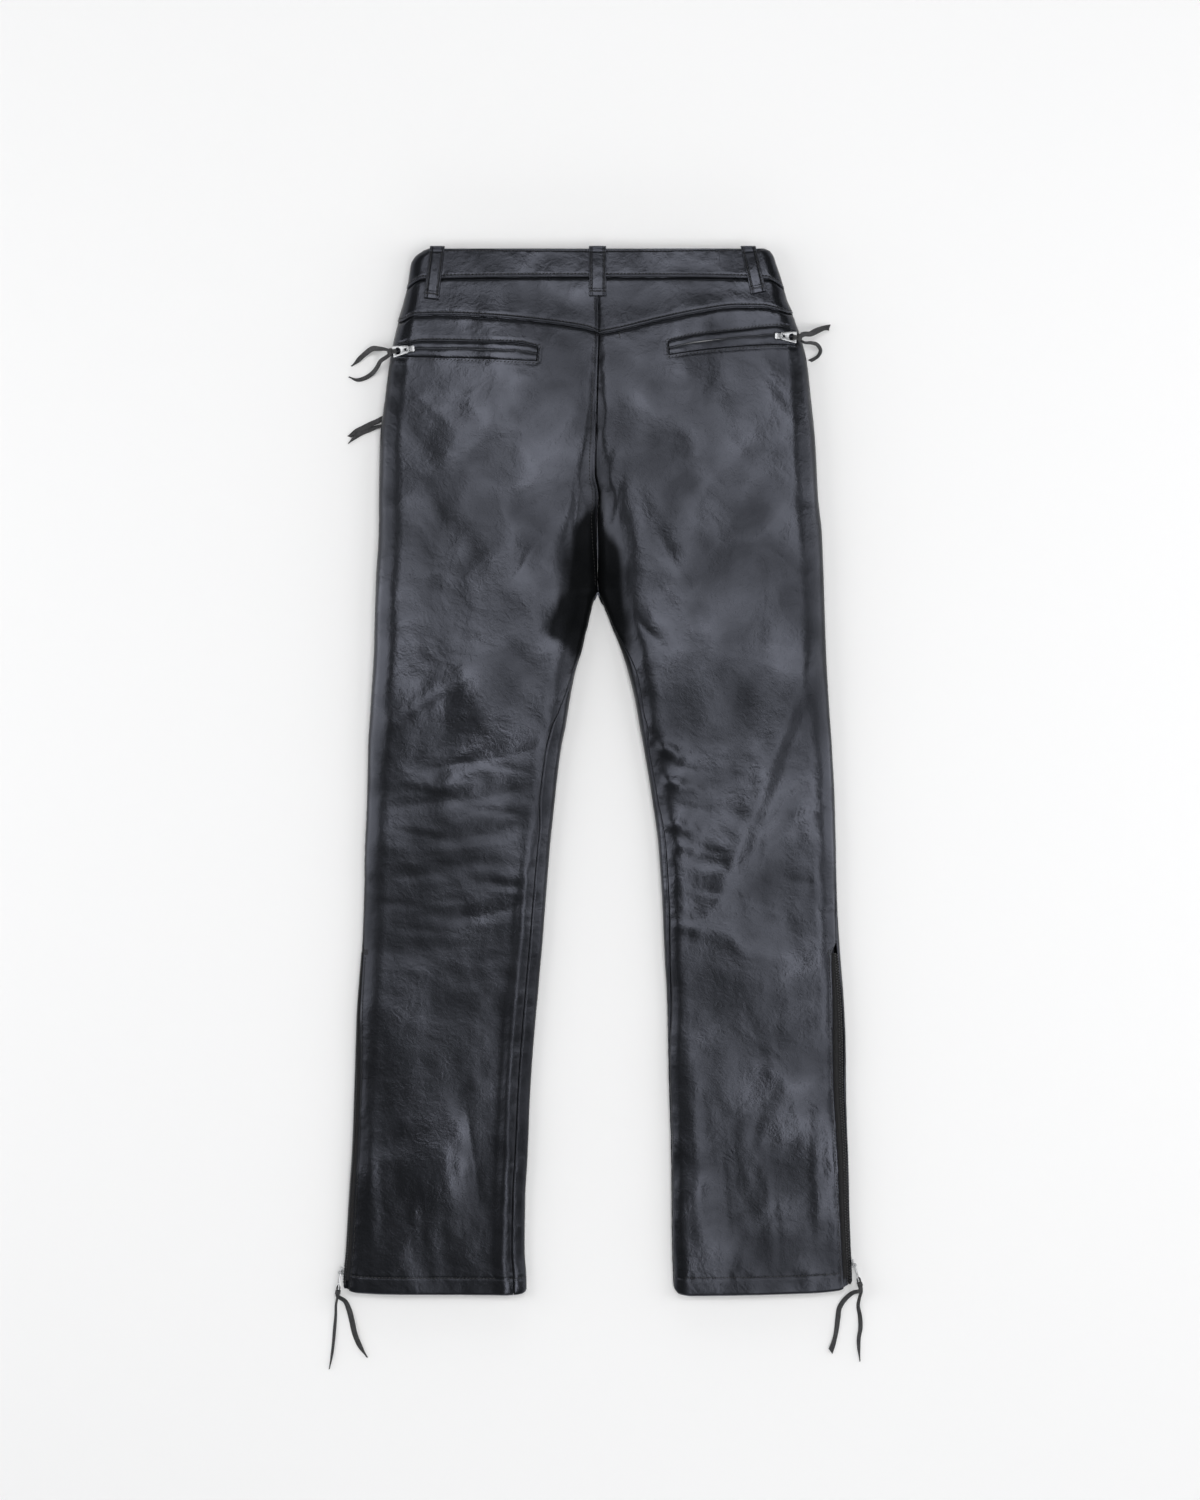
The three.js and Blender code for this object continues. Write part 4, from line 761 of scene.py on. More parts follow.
def beads_tree():
    tree = bpy.data.node_groups.new("rows_of_small_shapes", "GeometryNodeTree")
    sockets = tree.interface
    sockets.new_socket("Points", in_out="INPUT", socket_type="NodeSocketGeometry")
    for name, value in (("Length", 0.0026), ("Width", 0.0008), ("Height", 0.0006),
                        ("Uneven", 0.08)):
        made = sockets.new_socket(name, in_out="INPUT", socket_type="NodeSocketFloat")
        made.default_value = value
    made = sockets.new_socket("Blocky", in_out="INPUT", socket_type="NodeSocketBool")
    sockets.new_socket("Finish", in_out="INPUT", socket_type="NodeSocketMaterial")
    sockets.new_socket("Geometry", in_out="OUTPUT", socket_type="NodeSocketGeometry")
    given = add_node(tree, "NodeGroupInput")
    bead = add_node(tree, "GeometryNodeMeshUVSphere",
                    {"Segments": 6, "Rings": 4, "Radius": 0.5})
    laid = add_node(tree, "GeometryNodeTransform",
                    {"Geometry": (bead, "Mesh"), "Rotation": (0, math.pi / 2, 0)})
    block = add_node(tree, "GeometryNodeMeshCube", {"Size": (1, 1, 1)})
    shape = add_node(tree, "GeometryNodeSwitch",
                     {"Switch": (given, "Blocky"), "False": (laid, "Geometry"),
                      "True": (block, "Mesh")}, input_type="GEOMETRY")
    turn = add_node(tree, "GeometryNodeInputNamedAttribute", {"Name": "turn"},
                    data_type="FLOAT_VECTOR")
    angles = add_node(tree, "FunctionNodeEulerToRotation", {"Euler": (turn, "Attribute")})
    low = add_node(tree, "ShaderNodeMath", {0: 1.0, 1: (given, "Uneven")}, operation="SUBTRACT")
    high = add_node(tree, "ShaderNodeMath", {0: 1.0, 1: (given, "Uneven")}, operation="ADD")
    chance = add_node(tree, "FunctionNodeRandomValue", data_type="FLOAT")
    chance.inputs["Seed"].default_value = 7
    floats = [s for s in chance.inputs if s.type == "VALUE"]
    tree.links.new(low.outputs[0], floats[0])
    tree.links.new(high.outputs[0], floats[1])
    picked = next(s for s in chance.outputs if s.type == "VALUE")
    length = add_node(tree, "ShaderNodeMath", {0: (given, "Length")}, operation="MULTIPLY")
    tree.links.new(picked, length.inputs[1])
    scale = add_node(tree, "ShaderNodeCombineXYZ",
                     {"X": (length, "Value"), "Y": (given, "Width"), "Z": (given, "Height")})
    placed = add_node(tree, "GeometryNodeInstanceOnPoints",
                      {"Points": (given, "Points"), "Instance": (shape, "Output"),
                       "Rotation": (angles, "Rotation"), "Scale": (scale, "Vector")})
    real = add_node(tree, "GeometryNodeRealizeInstances", {"Geometry": (placed, "Instances")})
    dyed = add_node(tree, "GeometryNodeSetMaterial",
                    {"Geometry": (real, "Geometry"), "Material": (given, "Finish")})
    out = add_node(tree, "NodeGroupOutput")
    tree.links.new(dyed.outputs["Geometry"], out.inputs["Geometry"])
    return tree


def euler_of(along, up):
    """XYZ Euler angles of frames whose x is along and whose z is near up."""
    x = along / np.linalg.norm(along, axis=1, keepdims=True)
    y = np.cross(up, x)
    y /= np.linalg.norm(y, axis=1, keepdims=True)
    z = np.cross(x, y)
    return np.stack([np.arctan2(y[:, 2], z[:, 2]), -np.arcsin(np.clip(x[:, 2], -1, 1)),
                     np.arctan2(x[:, 1], x[:, 0])], 1)


def beads(name, tree, points, along, up, sizes, material, uneven=0.08, blocky=False):
    """sizes is length, width and height of one bead in millimetres."""
    mesh = bpy.data.meshes.new(name)
    mesh.from_pydata(to_metres(points).tolist(), [], [])
    layer = mesh.attributes.new("turn", "FLOAT_VECTOR", "POINT")
    layer.data.foreach_set("vector", euler_of(along, up).astype(np.float32).ravel())
    marks = put(name + "_marks", mesh)
    modifier = marks.modifiers.new("rows", "NODES")
    modifier.node_group = tree
    values = {"Length": sizes[0] * MM, "Width": sizes[1] * MM, "Height": sizes[2] * MM,
              "Uneven": uneven, "Blocky": blocky, "Finish": material}
    for socket in tree.interface.items_tree:
        if socket.in_out == "INPUT" and socket.name in values:
            modifier[socket.identifier] = values[socket.name]
    plain = baked(marks)
    bpy.data.objects.remove(marks)
    plain.polygons.foreach_set("use_smooth", [not blocky] * len(plain.polygons))
    return put(name, plain)


def evenly(points, up, pitch, start=0.5):
    """Resamples a route to even steps; gives places, directions and ups."""
    length = np.concatenate([[0], np.cumsum(np.linalg.norm(np.diff(points, axis=0), axis=1))])
    count = max(2, int(round(length[-1] / pitch)))
    at = (np.arange(count) + start) * length[-1] / count

    def look(values, move=0):
        return np.stack([np.interp(at + move, length, values[:, i]) for i in range(3)], 1)

    return look(points), look(points, 0.6) - look(points, -0.6), look(up)


# Camera, floor and light: metres

MIDDLE_OF_PICTURE = (0.00147, 0.0228)
TYPICAL_HEIGHT = 0.01


def set_camera():
    """Straight down. 1.05 mm of the trousers is one pixel of the 1200 by 1500 picture."""
    lens, long_side = 85, 1.575
    data = bpy.data.cameras.new("overhead_camera")
    data.lens = lens
    data.sensor_width = 36
    camera = put("overhead_camera", data)
    camera.location = (*MIDDLE_OF_PICTURE, TYPICAL_HEIGHT + long_side * lens / data.sensor_width)
    bpy.context.scene.camera = camera


def set_floor():
    mesh = bpy.data.meshes.new("floor")
    half, low = 1.5, -0.0006
    mesh.from_pydata([(-half, -half, low), (half, -half, low), (half, half, low),
                      (-half, half, low)], [], [(0, 1, 2, 3)])
    made, tree = new_material("painted_board")
    surface_shader(tree, {"Base Color": colour("#f5f5f5"), "Roughness": 0.9, "IOR": 1.5})
    mesh.materials.append(made)
    put("floor", mesh)


def softbox(name, place, aim, size, power):
    data = bpy.data.lights.new(name, "AREA")
    data.shape = "RECTANGLE"
    data.size, data.size_y = size
    data.energy = power
    light = put(name, data)
    light.location = place
    light.rotation_euler = (Vector(aim) - Vector(place)).to_track_quat("-Z", "Y").to_euler()


# Softboxes: middle, size, and radiance. Two hang overhead, and four low ones all round draw
# the light strips along the legs' edges and the seams' lips.
SOFTBOXES = [
    ("box_over_waist", (0.05, 1.0, 4.1), (1.9, 2.2), 4.4),
    ("box_over_hems", (1.05, -1.2, 4.1), (1.3, 2.2), 4.6),
    ("strip_left", (-2.3, 0.1, 0.75), (1.2, 3.8), 2.9),
    ("strip_right", (2.3, 0.1, 0.75), (1.2, 3.8), 2.7),
    ("strip_above", (0, 2.7, 0.75), (2.4, 1.0), 2.1),
    ("strip_below", (0, -2.7, 0.75), (2.4, 1.0), 2.3),
]


def set_light():
    """White walls all round, a dark ceiling, and softboxes."""
    world = bpy.data.worlds.new("white_studio")
    bpy.context.scene.world = world
    world.use_nodes = True
    world.node_tree.nodes.clear()
    tree = world.node_tree
    way = add_node(tree, "ShaderNodeTexCoord")
    parts = add_node(tree, "ShaderNodeSeparateXYZ", {"Vector": (way, "Generated")})
    glow = add_node(tree, "ShaderNodeMapRange",
                    {"Value": (parts, "Z"), "From Min": 0.16, "From Max": 0.42,
                     "To Min": 0.93, "To Max": 0.05}, interpolation_type="SMOOTHSTEP")
    sky = add_node(tree, "ShaderNodeBackground",
                   {"Color": colour("#fafbff"), "Strength": (glow, "Result")})
    add_node(tree, "ShaderNodeOutputWorld", {"Surface": (sky, "Background")})
    for name, place, size, radiance in SOFTBOXES:
        overhead = place[2] > 2
        aim = (place[0], place[1], 0) if overhead else (0, 0, 0)
        softbox(name, place, aim, size, radiance * math.pi * size[0] * size[1])
    bpy.context.scene.view_settings.view_transform = "Standard"


# Zip pulls and their laces

TAB = {"length": 17.5, "near": 7.6, "far": 12.4, "thick": 1.1, "bar": 0.5}
EYE = {"inner": 1.2, "outer": 2.2, "wide": 2.0}
SLIDER = {"length": 8.6, "wide": 6.6, "high": 2}
KNOT = {"length": 5.2, "wide": 8.6, "high": 5.4}
FLAT_KNOT = {"length": 4.4, "wide": 8, "high": 3.6}
KNOT_CLEARANCE = 0.06
ROOT_LENGTH = 3.2
LACE_THICK = 1.3
# Each pull: its pivot (x, drop, height), the ways its tab and slider point and its face looks
PULLS = {
    "back_pocket_left": ((-199.5, 106.4, 31.4), (-1, 0.14, -0.34), (-1, 0.1, -0.17), (0, 0, 1)),
    "back_pocket_right": ((189.5, 92.6, 31.0), (1, 0.06, -0.34), (1, 0.02, -0.17), (0, 0, 1)),
    "leg_left": ((-272.4, 1074, 8.4), (-0.12, 1, 0), (0.02, 1, 0), (-1, 0, 0.12)),
    "leg_right": ((267.9, 1066, 9.2), (0.28, 1, 0), (0.02, 1, 0), (1, 0, 0.12)),
    "front_pocket_left": ((-203, 169.2, 2.45), (-1, 0.44, 0), (-1, 0.44, 0), (0, 0, -1)),
    "front_pocket_right": ((199.5, 169.2, 2.45), (1, 0.44, 0), (1, 0.44, 0), (0, 0, -1)),
}
# Lace tails: the angle round the knot where each comes out, then points along it
TAILS = {
    "back_pocket_left_1": (-38, [
        (-231.5, 104.4, 17.5), (-238.5, 103.8, 11), (-245.5, 107.6, 5), (-251.5, 112.4, 2.2),
        (-256.8, 117.6, 1.6), (-261.2, 121.2, 1.6)]),
    "back_pocket_left_2": (38, [
        (-229.6, 117.4, 15.5), (-234, 123.4, 8), (-239.8, 129.4, 3.4), (-246.6, 133.4, 1.8),
        (-255, 135.6, 1.6), (-263.8, 132.2, 1.6)]),
    "back_pocket_right_1": (38, [
        (221, 89, 18.8), (226, 86.4, 15.6), (231, 83.8, 12.5), (236, 81.8, 9.5),
        (241.6, 81, 7)]),
    "back_pocket_right_2": (-38, [
        (222.4, 98.2, 16), (228.6, 99.4, 10), (232.4, 105.2, 5), (230.2, 110.2, 2.4),
        (224.6, 114, 1.6), (221.4, 115.6, 1.6)]),
    "front_pocket_left_1": (36, [
        (-233, 178.6, 1.6), (-241, 182.2, 1.6), (-249, 186.4, 1.6), (-256.6, 190.2, 1.6),
        (-263.4, 195.4, 1.6)]),
    "front_pocket_left_2": (-36, [
        (-233, 184.6, 1.6), (-241.2, 187.6, 1.6), (-249.2, 190.8, 1.6), (-257, 195.6, 1.6),
        (-264.6, 202.6, 1.6)]),
    "leg_left_1": (8, [
        (-277, 1108, 5), (-277.6, 1120, 1.8), (-278.8, 1134, 1.6), (-280.2, 1150, 1.6),
        (-282, 1164, 1.6), (-284.4, 1176.6, 1.6)]),
    "leg_left_2": (-48, [
        (-267.6, 1105, 3.2), (-263.6, 1114, 1.8), (-260.6, 1126, 1.6), (-257.4, 1140, 1.6),
        (-252, 1152.6, 1.6), (-244.4, 1164.4, 1.6)]),
    "leg_right_1": (-48, [
        (265.4, 1096.6, 3.6), (257.8, 1103.6, 2.2), (252.6, 1112, 1.8), (250.8, 1124, 1.6),
        (249, 1138, 1.6), (246.4, 1149, 1.6), (243.2, 1158, 1.6)]),
    "leg_right_2": (8, [
        (273.4, 1101, 5.2), (272.2, 1110, 2), (274, 1120, 1.6), (274.8, 1132, 1.6),
        (272.8, 1146, 1.6), (273.2, 1158, 1.6), (274.2, 1168.6, 1.6)]),
}
# Each tail's width and how much of it is left at its cut end
TAIL_WIDTHS = {
    "back_pocket_left_1": (5.6, 0.3), "back_pocket_left_2": (4.6, 0.35),
    "back_pocket_right_1": (6.0, 1.15), "back_pocket_right_2": (3.9, 1.0),
    "front_pocket_left_1": (5.8, 0.7), "front_pocket_left_2": (4.8, 0.25),
    "leg_left_1": (3.2, 0.4), "leg_left_2": (5.8, 0.3),
    "leg_right_1": (5.0, 1.3), "leg_right_2": (4.3, 0.3),
}


def pull_frame(name, which=1):
    """Origin and axes of a pull: x along the tab (or slider), z off its face, in millimetres."""
    pivot, face = PULLS[name][0], np.array(PULLS[name][3], float)
    along = np.array(PULLS[name][which], float) * (1, -1, 1)
    face = face * (1, -1, 1)
    x = along / np.linalg.norm(along)
    y = np.cross(face, x)
    y /= np.linalg.norm(y)
    return np.array([pivot[0], WAIST_Y - pivot[1], pivot[2]]), np.stack([x, y, np.cross(x, y)])


def in_frame(name, points, which=1):
    origin, axes = pull_frame(name, which)
    return origin + np.asarray(points, float) @ axes


def body_of(pull):
    return BODY if pull.startswith("front") else f"pull_{pull}"


def through(points, count):
    """A smooth line through points, evenly sampled."""
    points = np.array(points, float)
    chord = np.concatenate([[0], np.cumsum(np.linalg.norm(np.diff(points, axis=0), axis=1))])
    slopes = np.gradient(points, chord, axis=0)
    at = np.linspace(0, chord[-1], count)
    i = np.clip(np.searchsorted(chord, at) - 1, 0, len(chord) - 2)
    span = (chord[i + 1] - chord[i])[:, None]
    return hermite(points, slopes, i, (at - chord[i])[:, None] / span, span)


def lace_route(name):
    angle, route = TAILS[name]
    pull = name[:-2]
    size = FLAT_KNOT if pull.startswith("front") else KNOT
    turn = math.radians(angle)
    on_knot = np.array([size["length"] / 2 * math.cos(turn), size["wide"] / 2 * math.sin(turn), 0])
    outward = np.array([math.cos(turn) / size["length"], math.sin(turn) / size["wide"], 0])
    outward /= np.linalg.norm(outward)
    middle = (TAB["length"] + SEAM_GAP + size["length"] / 2, 0, 0)
    roots = in_frame(pull, [on_knot + outward * reach + middle
                            for reach in (KNOT_CLEARANCE, ROOT_LENGTH)])
    rest = [(x, WAIST_Y - drop, height) for x, drop, height in route]
    line = through(np.concatenate([roots, rest]), 34)
    line[:, 2] = np.maximum(line[:, 2] - 0.7 * smooth(30, 2, line[:, 2]), 0.8)
    return line


def lace(name, thong):
    """A thong's free end: flat, laid over on the surface, cut wide and aslant."""
    line = lace_route(name)
    along = np.gradient(line, axis=0)
    up = np.array([0, 0, 1.0])
    flat = np.cross(up, along)
    flat /= np.linalg.norm(flat, axis=1, keepdims=True)
    t = np.linspace(0, 1, len(line))[:, None]
    seed = sum(map(ord, name))
    tilt = 0.9 * (1 - smooth(0.0, 0.5, t)) * np.sin(seed) + 0.3 * np.sin(seed + 5 * t)
    across = flat * np.cos(tilt) + up * np.sin(tilt)
    width, tip_share = TAIL_WIDTHS[name]
    wide = width * (mix(1, tip_share, smooth(0.78, 1, t[:, 0])) - 0.08 * np.sin(9 * t[:, 0]))
    made = ribbon(line, across, wide, LACE_THICK, thong, f"thong_{name}")
    slant = 0.7 * (1 if seed % 2 else -1)
    tip, heading = line[-1], along[-1] / np.linalg.norm(along[-1])
    for vertex in made.data.vertices[-RIBBON_SIDES:]:
        place = np.array(vertex.co) / MM - (CENTRE_X, 0, 0)
        vertex.co += Vector(heading * slant * np.dot(place - tip, flat[-1]) * MM)
    ride(made, [f"lace_{name}"], body_of(name[:-2]))


def knot(pull, thong):
    """The tie: a loop through the tab's hole and bands crossed over each other beyond it."""
    size = FLAT_KNOT if pull.startswith("front") else KNOT
    start = TAB["length"] + SEAM_GAP
    middle = start + size["length"] / 2
    turn = np.linspace(0, 2 * np.pi, 28, endpoint=False)
    high, wide = size["high"] / 2 - 0.5, size["wide"] / 2 - 0.6
    web = TAB["length"] - 2.1

    def ring(x, reach, tall, mid):
        return np.stack([x + reach * np.cos(turn), 0 * turn + mid, tall * np.sin(turn)], 1)

    def around(x, lean):
        return np.stack([x + lean * np.sin(turn), wide * np.cos(turn), high * np.sin(turn)], 1)

    bands = [
        (ring(web + 1.1, 2.9, 1.5, 0.9), (0, 1, 0.25), 2.6),
        (ring(web + 1.3, 3.0, 1.4, -1.4), (0, 1, -0.2), 2.4),
        (around(middle - 0.5, 0.5), (1, 0, 0), 2.6),
        (around(middle + 0.5, -1.1), (1, 0, 0.2), 2.6),
        (around(middle + 0.3, 1.3) * (1, 0.8, 1.06), (1, 0.3, 0), 2.2),
    ]
    parts = [ribbon(in_frame(pull, points), np.array(across, float) @ pull_frame(pull)[1],
                    width, 1.15, thong, f"knot_band_{i}", closed=True)
             for i, (points, across, width) in enumerate(bands)]
    made = join(f"tie_{pull}", parts)
    ride(made, [f"knot_{pull}"], body_of(pull))


def cut_plate(name, outlines, thick, bevel, material):
    """A flat plate in the xy plane with holes and rounded edges, in millimetres."""
    data = bpy.data.curves.new(name, "CURVE")
    data.dimensions = "2D"
    data.fill_mode = "BOTH"
    for outline in outlines:
        spline = data.splines.new("POLY")
        spline.points.add(len(outline) - 1)
        spline.use_cyclic_u = True
        for point, (x, y) in zip(spline.points, outline):
            point.co = (x, y, 0, 1)
    data.extrude = thick / 2 - bevel
    data.bevel_depth = bevel
    data.bevel_resolution = 2
    data.offset = -bevel
    rough = put(name, data)
    mesh = baked(rough)
    bpy.data.objects.remove(rough)
    merged = bmesh.new()
    merged.from_mesh(mesh)
    bmesh.ops.remove_doubles(merged, verts=merged.verts, dist=1e-4)
    bmesh.ops.recalc_face_normals(merged, faces=merged.faces)
    merged.to_mesh(mesh)
    merged.free()
    mesh.materials.clear()
    mesh.materials.append(material)
    return mesh


def rounded(corners, radius, steps=4):
    """The outline through corners, each one rounded."""
    corners = np.array(corners, float)
    outline = []
    for i, corner in enumerate(corners):
        before = corners[i - 1] - corner
        after = corners[(i + 1) % len(corners)] - corner
        reach = min(radius, 0.45 * np.linalg.norm(before), 0.45 * np.linalg.norm(after))
        a = corner + before / np.linalg.norm(before) * reach
        b = corner + after / np.linalg.norm(after) * reach
        for t in np.linspace(0, 1, steps + 1):
            outline.append(a * (1 - t) ** 2 + 2 * corner * t * (1 - t) + b * t * t)
    return outline


def place_mesh(mesh, pull, which, name):
    """Moves a plate's mesh from the pull's frame to the trousers' frame."""
    origin, axes = pull_frame(pull, which)
    turn = Matrix(axes.T.tolist()).to_4x4()
    turn.translation = Vector(origin)
    mesh.transform(turn)
    mesh.transform(Matrix.Translation((CENTRE_X, 0, 0)))
    mesh.transform(Matrix.Scale(MM, 4))
    shade_smooth(mesh, 40)
    return put(name, mesh)


def pull_tab(pull, nickel):
    near, far, length = TAB["near"] / 2, TAB["far"] / 2, TAB["length"]
    bar = TAB["bar"]
    outline = rounded([(-bar, -near + 0.6), (0.6, -near), (length - 0.4, -far),
                       (length, -far + 0.6), (length, far - 0.6), (length - 0.4, far),
                       (0.6, near), (-bar, near - 0.6)], 1.2)
    slot = rounded([(bar, -1.6), (bar, 1.6), (4.5, 1.2), (4.5, -1.2)], 0.5)
    turn = np.linspace(0, 2 * np.pi, 24, endpoint=False)
    hole = np.stack([11.9 + 3.3 * np.cos(turn), 3.5 * np.sin(turn)], 1)
    mesh = cut_plate("tab", [outline, slot, hole], TAB["thick"], 0.26, nickel)
    made = place_mesh(mesh, pull, 1, f"pull_tab_{pull}")
    ride(made, [f"tab_{pull}"], body_of(pull))


def zip_slider(pull, nickel):
    """The slider's two plates, the neck between them and the bail that holds the tab."""
    long, wide, high = SLIDER["length"], SLIDER["wide"] / 2, SLIDER["high"]
    outline = rounded([(-long / 2, -wide + 0.6), (-long / 2 + 1.4, -wide),
                       (long / 2 - 1.6, -wide + 0.7), (long / 2, -wide + 2.2),
                       (long / 2, wide - 2.2), (long / 2 - 1.6, wide - 0.7),
                       (-long / 2 + 1.4, wide), (-long / 2, wide - 0.6)], 1.0)
    parts = []
    levels = ((-EYE["inner"] - 0.45, 0.9, 1.0), (-EYE["inner"] - high + 0.4, 0.7, 0.97),
              (-EYE["inner"] - high / 2, 1.0, 0.45))
    for i, (level, thick, share) in enumerate(levels):
        mesh = cut_plate(f"plate_{i}", [np.array(outline) * share], thick, 0.2, nickel)
        mesh.transform(Matrix.Translation((-1.8, 0, level)))
        parts.append(place_mesh(mesh, pull, 2, f"plate_{i}_{pull}"))
    turn = np.linspace(0, 2 * np.pi, 24, endpoint=False)
    ring = np.stack([1.7 * np.cos(turn), 0 * turn, 1.7 * np.sin(turn)], 1)
    parts.append(ribbon(in_frame(pull, ring, 2), pull_frame(pull, 2)[1][1], EYE["wide"], 0.95,
                        nickel, "bail", closed=True))
    ride(join(f"zip_slider_{pull}", parts), [f"slider_{pull}"])


# The leather panels

def measured(points):
    """Distances of a grid's points from its four edges: first row, last row, first column,
    last column."""
    down = np.linalg.norm(np.diff(points, axis=0), axis=2)
    over = np.linalg.norm(np.diff(points, axis=1), axis=2)
    rows = np.concatenate([np.zeros((1, points.shape[1])), np.cumsum(down, 0)])
    columns = np.concatenate([np.zeros((points.shape[0], 1)), np.cumsum(over, 1)], 1)
    return rows, rows[-1:] - rows, columns, columns[:, -1:] - columns


STITCHES = []


def stitch(points, up, pitch=STITCH_PITCH, slant=10):
    """Keeps a row of stitches for later: a route in millimetres and the ups along it."""
    place, along, up = evenly(np.asarray(points), np.asarray(up), pitch)
    along /= np.linalg.norm(along, axis=1, keepdims=True)
    aside = np.cross(up, along)
    along = along + aside * math.tan(math.radians(slant))
    STITCHES.append((place, along, up))


def stitch_on(side, q, drop, lift, **more):
    """A row of stitches along places on the section."""
    q, drop = np.broadcast_arrays(np.asarray(q, float), np.asarray(drop, float))
    stitch(wall_points(side, q, drop, np.broadcast_to(lift, q.shape)), normals(side, q, drop),
           **more)


def pucker(distance, along, tall, seed):
    """The small gathers beside a stitched edge."""
    return tall * bell(distance - 3, 5) * wave_noise(along / 7, distance / 12, seed)


def groove(distance, at, deep=0.3, width=0.7):
    return -deep * bell(distance - at, width)


def lap_of_centre_seam(side, distance):
    """The left half is folded and stitched over the right one."""
    if side == "left":
        return (0.6 * bell(distance - 0.9, 1.0) + groove(distance, CENTRE_STITCH, 0.35, 0.6)
                + 0.25 * smooth(6, 3.5, distance))
    return -0.6 * bell(distance, 1.2)


ROLL = {"left": 1.9, "right": 0.5}


def rows_below_seat(many, few):
    """Levels from the seat to the hem turning, and then over it."""
    return np.concatenate([np.linspace(SEAT_DROP, HEM_ROWS_START - 2, many),
                           np.linspace(HEM_ROWS_START, HEM_LEVEL, few)])


def back_panel(side, leather):
    pocket = POCKETS[side]
    outer, inner = pocket_shares(side)
    share = spread((0, outer, 5), (outer, SLOPE_SHARE, 12), (SLOPE_SHARE, inner, 46),
                   (inner, 1 - SLOPE_SHARE, 20), (1 - SLOPE_SHARE, 1, 24))[None]
    head = spread((0, 1, 13), (1, 2, 5), (2, 3, 18))
    below = rows_below_seat(292, 20)[1:]
    x = top_x(side, back_place(side, share, np.float64(NOMINAL_DROP)))
    seam = YOKE_SEAM[side](x) + HALF_GAP
    top, bottom = pocket["top"](x), pocket["bottom"](x)
    at = head[:, None]
    upper = np.where(at <= 1, mix(seam, top, at),
                     np.where(at <= 2, mix(top, bottom, at - 1), mix(bottom, SEAT_DROP, at - 2)))
    level = np.concatenate([upper, np.repeat(below[:, None], share.shape[1], 1)])
    share = np.broadcast_to(share, level.shape)
    q = back_place(side, share, level)
    drop = hem_drop(side, level, q)
    flat = wall_points(side, q, drop, 0 * q)
    from_yoke, from_hem, from_side, from_inner = measured(flat)
    in_columns = (share >= outer - 1e-6) & (share <= inner + 1e-6)
    ends = [flat[..., 0][:, i] for i in
            (np.argmin(abs(share[0] - outer)), np.argmin(abs(share[0] - inner)))]
    low_x = np.minimum(*ends)[:, None]
    high_x = np.maximum(*ends)[:, None]
    aside = np.maximum(np.maximum(low_x - flat[..., 0], flat[..., 0] - high_x), 0)
    above = np.maximum(np.maximum(top - drop, drop - bottom), 0)
    window = np.hypot(aside, above)
    zipped = smooth(*ZIP_OPENS, level)
    centre = level < CROTCH_DROP
    offset = -1.7 * bell(from_yoke, 2.2) + rolled(from_hem, 1.0) + rolled(window, 0.9)
    offset += rolled(from_side, 0.7) * mix(0.6, 1.2, zipped)
    offset += np.where(centre, lap_of_centre_seam(side, from_inner), rolled(from_inner, 0.8))
    offset += groove(from_hem, HEM_STITCH, 0.45, 0.7) + groove(window, 2.6, 0.7)
    offset += groove(from_side, 3.0, 0.3) * zipped + 0.35 * zipped * smooth(2.8, 0.8, from_side)
    offset += pucker(from_hem - 17, flat[..., 0], 0.35, 11) * smooth(60, 30, from_hem)
    offset += pucker(window, flat[..., 0], 0.3, 12) * smooth(30, 14, window)
    offset += pucker(from_side, drop, 0.35, 13)
    offset += pucker(from_inner, drop, 0.4, 14)
    offset += pucker(from_yoke, flat[..., 0], 0.3, 15) * smooth(40, 20, from_yoke)
    calf = smooth(560, 700, level)
    offset += calf * (ROLL[side] * bell(from_inner - 10, 7) - 0.9 * bell(from_inner, 2.2))
    # lip: folded edges greyer, partly wear and partly a painted highlight; below 0 it is painted
    # shade in the crotch's folds
    lip = 0.9 * bell(window, 1.3) + 0.5 * bell(from_side, 1.4) * zipped + 0.35 * bell(from_hem, 1.4)
    lip += np.where(centre, 0.5 * bell(from_inner - 0.9, 0.9) * (side == "left"),
                    0.3 * bell(from_inner, 1.2))
    lip -= painted_fold_shade(flat[..., 0], drop)
    row_in = (head[:-1] >= 1) & (head[1:] <= 2)
    row_in = np.concatenate([row_in, np.zeros(level.shape[0] - len(head), bool)])
    present = ~(row_in[:, None] & (in_columns[:-1, :-1] & in_columns[:-1, 1:])[:1])
    outer_points = wall_points(side, q, drop, offset)
    inner_points = wall_points(side, q, drop, -wall_depth(q, level))
    made = wall(f"back_leg_{side}", outer_points, inner_points, leather, present, lip)
    ride(made, [f"back_panel_{side}"])
    sew_back(side, drop, q, from_hem)


def q_of(side, x):
    return float(back_place(side, np.float64(share_of(side, x)), np.float64(NOMINAL_DROP)))


